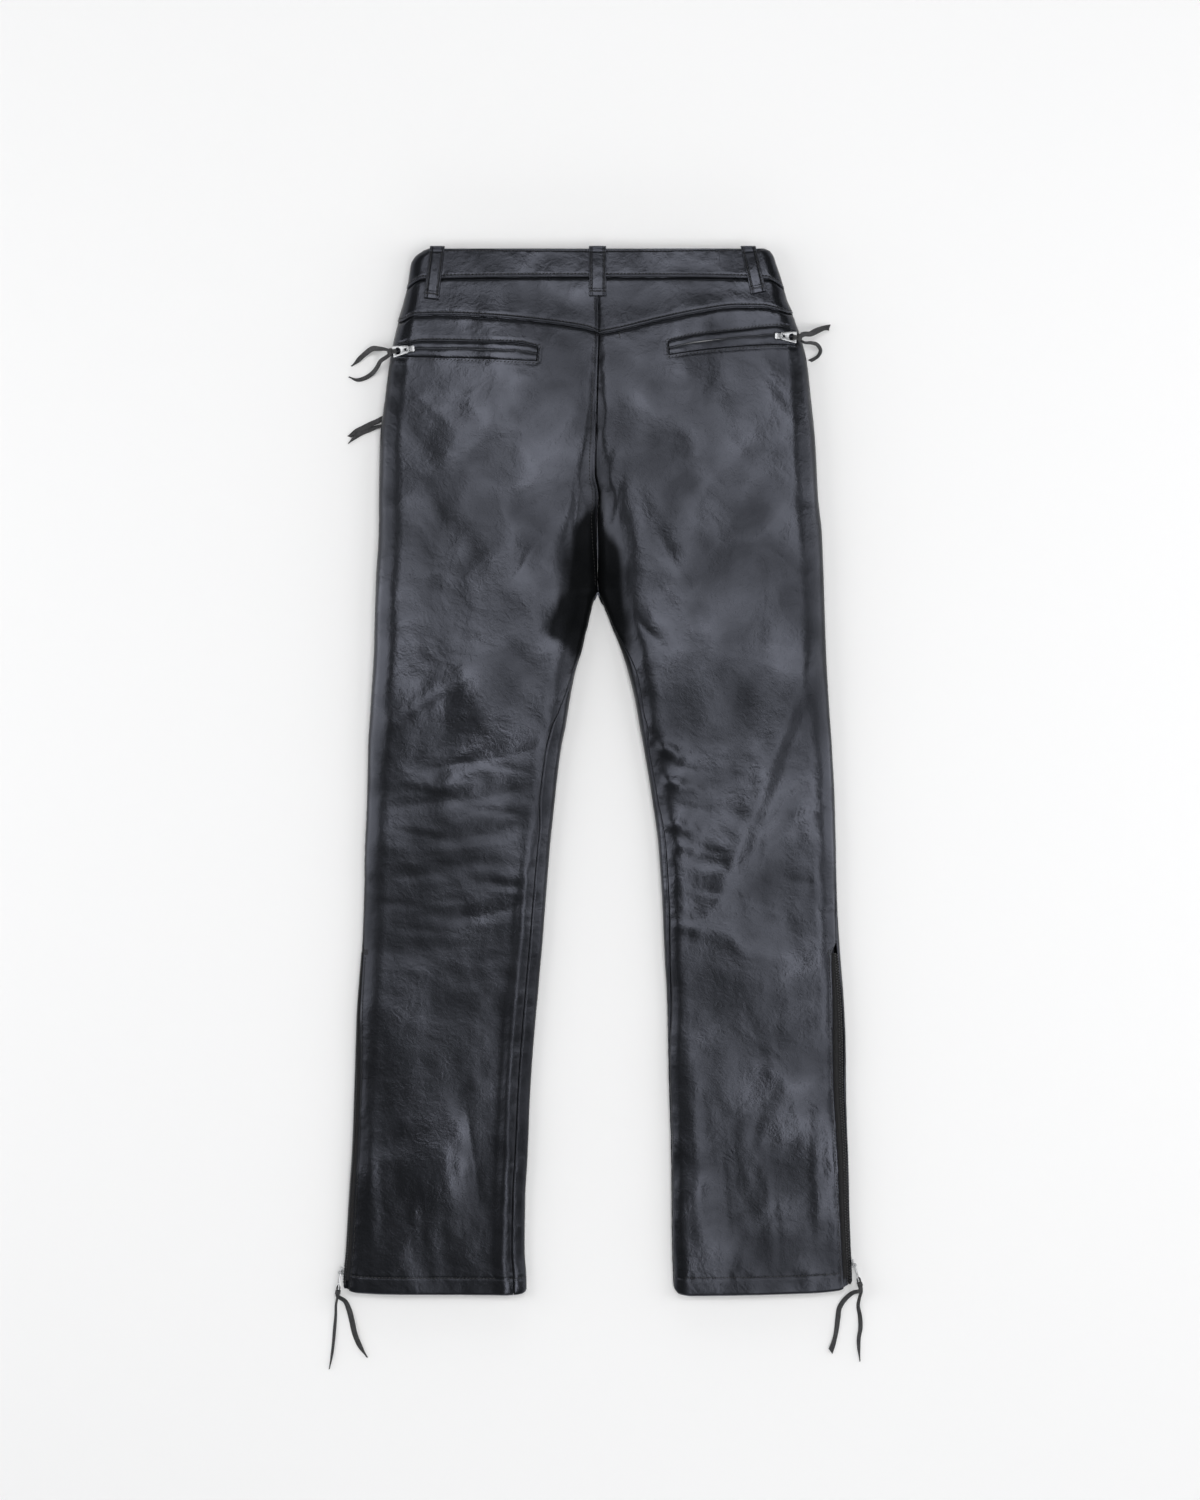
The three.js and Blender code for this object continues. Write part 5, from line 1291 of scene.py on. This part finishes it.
def sew_back(side, drop, q, from_hem):
    """The rows of stitches on a back panel."""
    pocket = POCKETS[side]
    hem_row = int(np.argmin(abs(from_hem[:, 0] - HEM_STITCH)))
    stitch_on(side, q[hem_row, 1:-1], drop[hem_row, 1:-1], 0.02)
    sign = SIGN[side]
    span = np.linspace(pocket["outer"] + 1.8 * sign, pocket["inner"] - 2.4 * sign, 90)
    q_at = np.array([q_of(side, x) for x in span])
    for edge, away in (("top", -2.4), ("bottom", 2.4)):
        stitch_on(side, q_at, pocket[edge](span) + away, 0.02, slant=24)
    for i in (0, -1):
        down = np.linspace(pocket["top"](span[i]) - 2, pocket["bottom"](span[i]) + 2, 12)
        stitch_on(side, np.full(12, q_at[i]), down, 0.02, slant=24)
    if side == "right":
        down = np.linspace(88, 95, 6)
        stitch_on(side, q_of(side, 21.5) + 0 * down, down, 0.1, pitch=1.6, slant=50)
    if side == "left":
        down = np.linspace(92, CROTCH_DROP - 6, 160)
        place = strip_place(CENTRE_STITCH, SHAPE["inner_slope"](down))
        stitch_on(side, place, down, 0.05, slant=4)
    down = np.linspace(ZIP_STITCH_TOP, HEM_LEVEL - 4, 200)
    edge = side_place(side, down, "back")
    place = edge + 2.6 * half_gap(side, edge, down) / HALF_GAP
    stitch_on(side, place, hem_drop(side, down, place), 0.3, slant=4)
    for offset_drop in np.linspace(-2, 2, 3):
        across = np.linspace(0.02, 0.34, 8)
        level = np.full(8, ZIP_TACK + offset_drop)
        stitch_on(side, mix(side_place(side, level, "back"), 3, across), level, 0.25, pitch=2.2,
                  slant=40)


def yoke(side, leather):
    share = spread((0, SLOPE_SHARE, 20), (SLOPE_SHARE, 1 - SLOPE_SHARE, 66),
                   (1 - SLOPE_SHARE, 1, 18))[None]
    row = spread((0, 1, 34))[:, None]
    q = back_place(side, share, np.float64(NOMINAL_DROP))
    top = band_seam(q) + HALF_GAP
    bottom = yoke_seam(side, q) + 0.45
    drop = mix(top, bottom, row)
    q = np.broadcast_to(q, drop.shape)
    flat = wall_points(side, q, drop, 0 * q)
    from_band, from_lip, from_side, from_inner = measured(flat)
    proud = 0.95 * smooth(0.35, 0.9, np.broadcast_to(row, drop.shape))
    offset = proud + rolled(from_lip, 1.0) + rolled(from_side, 0.6) - 1.4 * bell(from_band, 2.2)
    offset += groove(from_lip, 3.2, 0.45) + 0.3 * bell(from_lip - 1.3, 1.0)
    offset += lap_of_centre_seam(side, from_inner)
    offset += pucker(from_lip, flat[..., 0], 0.3, 21) + pucker(from_band, flat[..., 0], 0.3, 22)
    offset += 0.35 * crumple(flat[..., 0], drop)
    # lip greys the folded edges: partly wear, partly a painted highlight
    lip = 0.75 * bell(from_lip - 0.5, 1.2) + 0.4 * bell(from_inner - 0.9, 0.9) * (side == "left")
    made = wall(f"back_yoke_{side}", wall_points(side, q, drop, offset),
                wall_points(side, q, drop, proud - LEATHER), leather, lip=lip)
    ride(made, [f"yoke_{side}"])
    line = q[0, 2:-1]
    stitch_on(side, line, yoke_seam(side, line) - 2.6, 0.98)
    if side == "left":
        down = np.linspace(52, 84, 20)
        stitch_on(side, strip_place(CENTRE_STITCH, SHAPE["inner_slope"](down)), down, 0.5, slant=4)


OVERLAP = 12
UNDERLAP = 20


def waistband(side, leather):
    """One half, from the centre back round the side to the centre front, where the right
    half tucks in under the left one."""
    q = np.concatenate([np.linspace(5, 4, 12)[:-1], np.linspace(4, 3, 112)[:-1],
                        np.linspace(3, 1, 46)[:-1], np.linspace(1, 0.3, 18)[:-1],
                        np.linspace(0.3, 0, 14), [0.0]])[None]
    beyond = np.zeros(q.shape[1])
    beyond[-1] = OVERLAP if side == "left" else UNDERLAP
    row = spread((0, 1, 38))[:, None]
    drop = (band_seam(q) + mix(-HALF_GAP, 0.5, smooth(1.6, 2.3, q))) * row
    q = np.broadcast_to(q, drop.shape)
    tuck = 0 if side == "left" else BAND_THICK + SEAM_GAP
    tucked = tuck * (1 - smooth(0.07, 0.28, q))
    base = BAND_PROUD * smooth(2, 2.5, q) - underside_lift(q, drop) - tucked
    flat = wall_points(side, q, drop, base)
    flat[..., 0] -= SIGN[side] * beyond
    from_top, from_lip, from_centre, from_front = measured(flat)
    seen = smooth(1.7, 2.3, q)
    offset = base + rolled(from_top, 1.0) + rolled(from_lip, 1.1) + rolled(from_front, 0.8)
    offset += groove(from_top, 2.6, 0.4) + groove(from_lip, 3.2, 0.45)
    offset += 0.35 * bell(from_lip - 1.5, 1.0) * seen
    offset += pucker(from_lip, flat[..., 0], 0.35, 31) * seen
    offset += pucker(from_top, flat[..., 0], 0.25, 32) * seen
    offset += 0.3 * crumple(flat[..., 0], drop + 40) * seen
    outer = wall_points(side, q, drop, offset)
    inner = wall_points(side, q, drop, base - BAND_THICK)
    outer[..., 0] -= SIGN[side] * beyond
    inner[..., 0] -= SIGN[side] * beyond
    # lip greys the folded edges: partly wear, partly a painted highlight
    lip = 0.8 * bell(from_lip - 0.6, 1.2) + 0.4 * bell(from_top, 1.4)
    made = wall(f"band_{side}", outer, inner, leather, lip=lip)
    ride(made, [f"waistband_{side}"])
    line = np.linspace(4.98, 0.05, 300)
    lift = BAND_PROUD * smooth(2, 2.5, line)
    for down in (np.full(300, 2.6), band_seam(line) - 2.9):
        held = lift - underside_lift(line, down) - tuck * (1 - smooth(0.07, 0.28, line))
        stitch_on(side, line, down, held + 0.02)


FRONT_ROLL_SHARE = 0.36
FLAT_START = 0.1
FLAT_END = 0.95


def front_place(side, share, drop):
    start, end = inner_place(side, drop, "front"), side_place(side, drop, "front")
    inner = mix(start, FLAT_START, share / FRONT_ROLL_SHARE)
    outer = mix(FLAT_END, end, (share - 1 + FRONT_ROLL_SHARE) / FRONT_ROLL_SHARE)
    middle = mix(FLAT_START, FLAT_END,
                 (share - FRONT_ROLL_SHARE) / (1 - 2 * FRONT_ROLL_SHARE))
    return np.where(share < FRONT_ROLL_SHARE, inner,
                    np.where(share > 1 - FRONT_ROLL_SHARE, outer, middle))


FRONT_POCKET = {"near": -26, "far": 118, "wide": 14, "slope": 0.44}


def front_pocket_points(side, points):
    """Points from the front pocket's frame: x inwards along its zip, z up from the surface."""
    pivot = PULLS[f"front_pocket_{side}"][0]
    x = np.array([-SIGN[side], FRONT_POCKET["slope"], 0.0])
    x /= np.linalg.norm(x)
    up = np.array([0, 0, 1.0])
    axes = np.stack([x, np.cross(up, x), up])
    return np.array([pivot[0], WAIST_Y - pivot[1], 0]) + np.asarray(points, float) @ axes


def cut_slot(piece, side):
    """Cuts the front pocket's opening through a front panel."""
    low = (FRONT_POCKET["near"], -FRONT_POCKET["wide"] / 2, -1)
    high = (FRONT_POCKET["far"], FRONT_POCKET["wide"] / 2, 7)
    corners = [(x, y, z) for x in (low[0], high[0]) for y in (low[1], high[1])
               for z in (low[2], high[2])]
    faces = [np.array([[0, 1, 3, 2], [4, 6, 7, 5], [0, 4, 5, 1], [2, 3, 7, 6], [0, 2, 6, 4],
                       [1, 5, 7, 3]])]
    block = finish_mesh("slot_cutter", front_pocket_points(side, corners), faces,
                        piece.data.materials[0])
    cut = piece.modifiers.new("slot", "BOOLEAN")
    cut.operation = "DIFFERENCE"
    cut.solver = "EXACT"
    cut.object = block
    mesh = baked(piece)
    piece.modifiers.clear()
    piece.data = mesh
    bpy.data.objects.remove(block)


def front_panel(side, leather):
    share = spread((0, FRONT_ROLL_SHARE, 22), (FRONT_ROLL_SHARE, 1 - FRONT_ROLL_SHARE, 10),
                   (1 - FRONT_ROLL_SHARE, 1, 20))[None]
    below = rows_below_seat(230, 14)
    head = spread((0, 1, 22))[:-1, None]
    band = band_seam(np.float64(2)) + HALF_GAP
    level = np.concatenate([mix(band, SEAT_DROP, head), below[:, None]])
    level = np.repeat(level, share.shape[1], 1)
    share = np.broadcast_to(share, level.shape)
    q = front_place(side, share, level)
    place = np.where(q < 0, q + 6, q)
    seam = band_seam(q) + HALF_GAP
    near_band = smooth(90, 40, level)
    drop = hem_drop(side, level + (seam - band) * near_band, place)
    lift = underside_lift(np.maximum(q, 0), drop)
    flat = wall_points(side, place, drop, -lift)
    from_band, from_hem, from_inner, from_side = measured(flat)
    offset = -lift + rolled(from_hem, 1.0) + rolled(from_side, 0.7)
    offset += np.where(level < CROTCH_DROP, 0.3, 1.0) * rolled(from_inner, 0.8)
    seen = smooth(5, 20, level - CROTCH_DROP) * smooth(14, 4, from_inner)
    offset += pucker(from_inner, drop, 0.35, 51) * seen
    offset += groove(from_hem, HEM_STITCH)
    offset = np.where((place > 0.02) & (place < 1.02), np.minimum(offset, 0), offset)
    inner = -lift - wall_depth(place, level)
    # lip: folded edges greyer, partly wear and partly a painted highlight; below 0 it is painted
    # shade in the crotch's folds
    lip = 0.3 * bell(from_inner, 1.4) * (level > CROTCH_DROP) + 0.5 * bell(from_side, 1.6)
    lip -= painted_fold_shade(flat[..., 0], drop)
    outer_points = wall_points(side, place, drop, offset)
    outer_points[..., 2] = np.maximum(outer_points[..., 2], 0.0)
    made = wall(f"front_leg_{side}", outer_points, wall_points(side, place, drop, inner),
                leather, None, lip)
    cut_slot(made, side)
    ride(made, [f"front_panel_{side}"])
    down = np.linspace(ZIP_STITCH_TOP, HEM_LEVEL - 4, 160)
    edge = side_place(side, down, "front")
    stitch_on(side, edge - 1.6 * half_gap(side, edge, down) / HALF_GAP, hem_drop(side, down, edge),
              0.02, slant=4)
    hem_row = int(np.argmin(abs(from_hem[:, 0] - HEM_STITCH)))
    stitch_on(side, place[hem_row, 1:10], drop[hem_row, 1:10], 0.02)
    for away in (-9.4, 9.4):
        rows = front_pocket_points(side, [(t, away, 0.1) for t in np.linspace(-14, 120, 60)])
        stitch(rows, np.tile((0, 0, -1.0), (60, 1)))


LOOPS = [
    ("belt_loop_centre", -2.1, -1.9, 18, 50),
    ("belt_loop_left", -169.6, -175.8, 15.4, 52.6),
    ("belt_loop_right", 155.4, 166.2, 15.6, 46.4),
]
LOOP_TOP = -2.4
LOOP_PROFILE = table("share under over", [
    (0, -2.2, 2.2), (0.02, -2.2, 3.4), (0.026, 0.35, 3.5), (0.25, 1.6, 3.8), (0.5, 1.9, 4.1),
    (0.72, 1.7, 3.9), (0.9, 1.0, 3.5), (0.925, 0.35, 4.3), (1, 0.35, 4.0),
])
FRONT_LOOPS = [("belt_loop_front_left", -98, 16, 50), ("belt_loop_front_right", 96, 16, 50)]


def top_height(x, drop):
    height = np.zeros(np.broadcast(x, drop).shape)
    for side in SIDES:
        size = sizes_at(side, drop)
        inset = np.abs(size["outer"] - x)
        start, end = top_ends(size)
        over = 3 + np.clip((x - start) / (end - start), 0, 1)
        q = np.where(inset < size["outer_slope"], inset_place(inset, size["outer_slope"]), over)
        here = (x < CENTRE_SEAM(drop)) == (side == "left")
        height = np.where(here, section(size, q)[1], height)
    return height


def belt_loop(name, x_top, x_foot, width, foot, leather):
    share = np.unique(np.concatenate([np.linspace(0, 1, 74), [0.02, 0.026, 0.9, 0.925]]))[:, None]
    half = mix(-0.5, 0.5, spread((0, 1, 20)))[None]
    drop = mix(LOOP_TOP, foot, share)
    middle = mix(x_top, x_foot, share)
    slope = (x_foot - x_top) / (foot - LOOP_TOP)
    x = middle + half * width
    low = np.maximum(drop, 0)
    height = np.maximum(top_height(middle, low), top_height(x, low)) + BAND_PROUD
    y = WAIST_Y - drop + slope * smooth(0, 0.5, share) * half * width
    edge = (0.5 - np.abs(half)) * width
    over = LOOP_PROFILE["over"](share) + rolled(edge, 0.8) + groove(edge, 2.3, 0.5, 0.7)
    over = over - 0.4 * bell(drop - 3.6, 0.9) + 0.25 * bell(drop - foot + 6.2, 0.8)
    over = over - 0.3 * bell(drop - foot + 4.6, 0.5)
    over = over + 0.12 * wave_noise(x / 6, drop / 7, 61) + 0 * x
    under = LOOP_PROFILE["under"](share) + 0 * x
    # lip greys the folded edges: partly wear, partly a painted highlight
    lip = 0.6 * bell(edge, 1.1) + 0.7 * bell(drop - foot + 6.2, 0.9) + 0.5 * bell(drop + 1.4, 1.2)
    made = wall(name + "_strap", np.stack([x, y, height + over], -1),
                np.stack([x, y, height + under], -1), leather, lip=lip + 0 * x)
    ride(made, [name])
    rise = LOOP_PROFILE["over"](share[:, 0])
    for column in (-1, 1):
        aside = column * (width / 2 - 2.3)
        rows = slice(3, -6)
        at = np.array([[middle[i, 0] + aside, y[i, 10] + slope * aside,
                        np.interp(middle[i, 0] + aside, x[i], height[i]) + rise[i]]
                       for i in range(*rows.indices(len(share)))])
        stitch(at, np.tile((0, 0, 1.0), (len(at), 1)), pitch=3.3, slant=6)
    i = int(np.argmin(abs(drop[:, 0] - foot + 4.6)))
    at = np.stack([x[i], y[i], height[i] + rise[i] - 0.1], -1)[2:-2]
    stitch(at, np.tile((0, 0, 1.0), (len(at), 1)), pitch=2.4, slant=30)


def flat_grid(x, drop, height):
    """Points at every x and drop, in millimetres."""
    return np.stack(np.broadcast_arrays(x, WAIST_Y - drop, height), -1).astype(float)


def front_loop(name, x, width, foot, leather):
    """A loop on the underside, pressed flat."""
    half = mix(-0.5, 0.5, spread((0, 1, 10)))[None] * width
    drop = spread((LOOP_TOP, foot, 26))[:, None]
    ends = np.minimum(drop - LOOP_TOP, foot - drop)
    edge = np.minimum(width / 2 - np.abs(half), ends)
    high = BAND_LIFT - SEAM_GAP
    low = -rolled(edge, 0.7) - groove(np.broadcast_to(width / 2 - np.abs(half), edge.shape), 2.3)
    made = wall(name + "_strap", flat_grid(x + half, drop, low), flat_grid(x + half, drop, high),
                leather)
    ride(made, [name])
    for aside in (-width / 2 + 2.3, width / 2 - 2.3):
        at = np.array([(x + aside, WAIST_Y - d, 0.25) for d in np.linspace(4, foot - 5, 20)])
        stitch(at, np.tile((0, 0, -1.0), (20, 1)), pitch=3.3)


# Zips, welts, fly shield and button

def window_points(side, along, across, offset):
    pocket = POCKETS[side]
    outer, inner = pocket_shares(side)
    q = back_place(side, mix(outer, inner, along), np.float64(NOMINAL_DROP))
    x = top_x(side, q)
    drop = mix(pocket["top"](x), pocket["bottom"](x), across)
    q, drop = np.broadcast_arrays(q, drop)
    return wall_points(side, q, drop, np.broadcast_to(offset, q.shape)), q, drop


def slit_half(side, along):
    gape = 0.5 * bell(along - 0.78, 0.09) if side == "right" else 0
    return 0.1 + gape


WELT_THICK = 2.4
# Rows of teeth, in millimetres: pitch, a tooth's size, and half the distance between the rows
METAL_TEETH = {"pitch": 2.1, "size": (1.3, 1.7, 1.1), "apart": 0.85, "slot": "nickel"}
MOULDED_TEETH = {"pitch": 2.8, "size": (2.0, 2.6, 1.5), "apart": 1.25, "slot": "zip_tape"}


def welt(side, which, leather):
    along = spread((0.004, 0.996, 70))[None]
    row = spread((0, 1, 12))[:, None]
    pocket = POCKETS[side]
    outer, inner = pocket_shares(side)
    x = top_x(side, back_place(side, mix(outer, inner, along), np.float64(NOMINAL_DROP)))
    high = pocket["bottom"](x) - pocket["top"](x)
    slit, edge = slit_half(side, along) / high, 0.2 / high
    if which == "upper":
        across = mix(edge, SLIT_SHARE - slit, row)
    else:
        across = mix(1 - edge, SLIT_SHARE + slit, row)
    round_over = -0.95 * (1 - np.sqrt(np.clip(1 - (2 * row - 1) ** 2 * 0.96, 0, 1)))
    lift = -0.2 + round_over + 0.2 * wave_noise(along * 14, row * 1.5, 71 + (which == "upper"))
    top = window_points(side, along, across, lift)[0]
    bottom = window_points(side, along, across, -WELT_THICK)[0]
    # lip greys the welt's folded edge: partly wear, partly a painted highlight
    lip = 0.8 * bell(row - 0.9, 0.14) + 0 * along
    made = wall(f"welt_{which}_{side}", top, bottom, leather, lip=lip)
    ride(made, [f"pocket_welt_{which}_{side}"])


def pocket_zip(side, tape, tree, teeth):
    along = spread((-0.01, 1.01, 50))[None]
    row = spread((-0.1, 1.1, 6))[:, None]
    level = -WELT_THICK - SEAM_GAP
    made = wall(f"pocket_tape_{side}", window_points(side, along, row, level)[0],
                window_points(side, along, row, level - 0.8)[0], tape)
    ride(made, [f"pocket_zip_{side}"])
    line, q, drop = window_points(side, np.linspace(0.03, 0.97, 200), SLIT_SHARE, level + 0.5)
    zip_teeth(f"pocket_teeth_{side}", line, normals(side, q, drop), tree, teeth,
              **METAL_TEETH)


def zip_teeth(name, line, up, tree, finish, pitch, size, apart, slot):
    """Two facing rows of teeth, each row half a pitch behind the other."""
    rows = []
    for row, start in ((-1, 0.25), (1, 0.75)):
        place, along, lifted = evenly(line, up, pitch, start)
        aside = np.cross(lifted, along)
        aside /= np.linalg.norm(aside, axis=1, keepdims=True)
        rows.append((place + aside * row * apart, along, lifted))
    points, along, lifted = (np.concatenate(part) for part in zip(*rows))
    made = beads(name, tree, points, along, lifted, size, finish, uneven=0.02,
                 blocky=slot == "nickel")
    ride(made, [])


def leg_zip(side, tape, tree, teeth):
    down = np.concatenate([np.linspace(738, 1074, 120), np.linspace(1076, 1086, 5)])[:, None]
    front, back = side_place(side, down, "front"), side_place(side, down, "back")
    run = np.linalg.norm(surface(side, back, down) - surface(side, front, down), axis=2)
    per_mm = (back - front) / run
    share = spread((0, 1, 12))[None]
    q = mix(front - 2.4 * per_mm, back + 2.4 * per_mm, share)
    drop = hem_drop(side, down, q)
    inset = np.minimum(q - front, back - q) / per_mm
    lift = mix(-LEATHER - 0.6, -0.5, smooth(0.6, 1.6, inset))
    made = wall(f"leg_tape_{side}", wall_points(side, q, drop, lift),
                wall_points(side, q, drop, 0 * q - LEATHER - 1.3), tape)
    ride(made, [f"leg_zip_{side}"])
    middle = mix(front, back, 0.4)[:, 0]
    level = down[:, 0]
    line = wall_points(side, middle, level, 0 * middle + 0.1)
    zip_teeth(f"leg_chain_{side}", line, normals(side, middle, level), tree, teeth,
              **MOULDED_TEETH)


SHIELD = {"left": -34, "right": 26, "top": 38, "bottom": 205}
BUTTON = {"x": 4, "drop": 17, "radius": 8.5, "high": 1.8}


def fly_shield(leather):
    x = spread((SHIELD["left"], SHIELD["right"], 16))[None]
    drop = spread((SHIELD["top"], SHIELD["bottom"], 40))[:, None]
    low = underside_lift(np.float64(0), drop) + LEATHER + SEAM_GAP
    edge = np.minimum(np.minimum(x - SHIELD["left"], SHIELD["right"] - x),
                      np.minimum(drop - SHIELD["top"], SHIELD["bottom"] - drop))
    top = flat_grid(x, drop, low + LEATHER)
    top[..., 2] += rolled(edge, 0.6)
    under = flat_grid(x, drop, low)
    made = wall("fly_facing", top, under, leather)
    ride(made, ["fly_shield"])


def waist_button(metal_finish):
    """A shank button's cap: rounded rim, dished middle."""
    radius, high = BUTTON["radius"], BUTTON["high"]
    low = BAND_LIFT - SEAM_GAP - high
    profile = [(0, 0.5), (4.6, 0.45), (5.4, 0.1), (6.6, 0), (7.8, 0.12), (radius - 0.1, 0.6),
               (radius, 1.1), (radius - 0.3, high), (0, high)]
    turn = np.arange(40) / 40 * 2 * np.pi
    middle = np.array([BUTTON["x"], WAIST_Y - BUTTON["drop"], low])
    rings = np.array([[(r * np.cos(a), r * np.sin(a), z) for a in turn]
                      for r, z in profile[1:-1]]) + middle
    count = len(turn)
    index = np.arange(rings.shape[0] * count).reshape(-1, count)
    faces = [np.stack([index[:-1], np.roll(index, -1, 1)[:-1], np.roll(index, -1, 1)[1:],
                       index[1:]], -1).reshape(-1, 4)]
    points = np.concatenate([rings.reshape(-1, 3), middle[None] + (0, 0, profile[0][1]),
                             middle[None] + (0, 0, high)])
    last = len(points) - 1
    faces.append(np.stack([np.full(count, last - 1), np.roll(index[0], -1), index[0]], -1))
    faces.append(np.stack([np.full(count, last), index[-1], np.roll(index[-1], -1)], -1))
    made = finish_mesh("waist_button_cap", points, faces, metal_finish, sharp=30)
    ride(made, ["waist_button"])


def front_zips(tape, tree, teeth):
    """The front pockets' zip strips, arched over their sliders."""
    low, high, thick = LEATHER + SEAM_GAP, 6, 0.9
    profile = [(-11, low), (-5.2, low), (-4, high), (4, high), (5.2, low), (11, low)]
    for side in SIDES:
        low_side, high_side = (front_pocket_points(side, [
            [(along, y, z + rise) for y, z in profile]
            for along in np.linspace(-5, FRONT_POCKET["far"] + 3, 40)]) for rise in (0, thick))
        made = wall(f"front_tape_{side}", low_side, high_side, tape)
        ride(made, [f"front_pocket_zip_{side}"])
        line = front_pocket_points(side, [(t, 0, high - 0.7) for t in np.linspace(4, 116, 60)])
        zip_teeth(f"front_teeth_{side}", line, np.tile((0, 0, -1.0), (60, 1)), tree, teeth,
                  **METAL_TEETH)


def main():
    set_camera()
    thong = split_thong()
    for name in TAILS:
        lace(name, thong)
    set_floor()
    set_light()
    leather = grained_cowhide()
    nickel = metal("polished_nickel_plate", "#a6a7a9", 0.26, 0.42)
    aged = metal("tarnished_nickel_teeth", "#77787a", 0.3, 0.5)
    dull = metal("brushed_nickel_button", "#8f8f8e", 0.3, 0.5)
    tape = ribbed("woven_zip_tape", "#0c0c0d", "#1c1c1e", 900, 0.85)
    thread = ribbed("bonded_nylon_thread", "#0a0a0b", "#1a1a1c", 1400, 0.5)
    chain = ribbed("moulded_zip_chain", "#101011", "#242427", 700, 0.45)
    tree = beads_tree()
    for side in SIDES:
        waistband(side, leather)
        yoke(side, leather)
        back_panel(side, leather)
        front_panel(side, leather)
        for which in ("upper", "lower"):
            welt(side, which, leather)
        pocket_zip(side, tape, tree, aged)
        leg_zip(side, tape, tree, chain)
    front_zips(tape, tree, nickel)
    fly_shield(leather)
    waist_button(dull)
    for loop in LOOPS:
        belt_loop(*loop, leather)
    for loop in FRONT_LOOPS:
        front_loop(*loop, leather)
    for pull in PULLS:
        zip_slider(pull, nickel)
        pull_tab(pull, nickel)
        if pull != "front_pocket_right":
            knot(pull, thong)
    points, along, up = (np.concatenate(part) for part in zip(*STITCHES))
    made = beads("stitching", tree, points, along, up, (2.9, 0.95, 0.6), thread)
    ride(made, [])


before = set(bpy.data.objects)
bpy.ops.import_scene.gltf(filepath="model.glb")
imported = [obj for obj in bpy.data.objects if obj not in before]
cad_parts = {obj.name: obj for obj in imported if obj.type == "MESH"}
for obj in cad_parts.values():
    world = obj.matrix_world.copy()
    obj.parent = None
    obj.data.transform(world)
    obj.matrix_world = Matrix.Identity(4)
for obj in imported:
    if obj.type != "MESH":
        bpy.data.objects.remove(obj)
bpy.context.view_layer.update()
main()
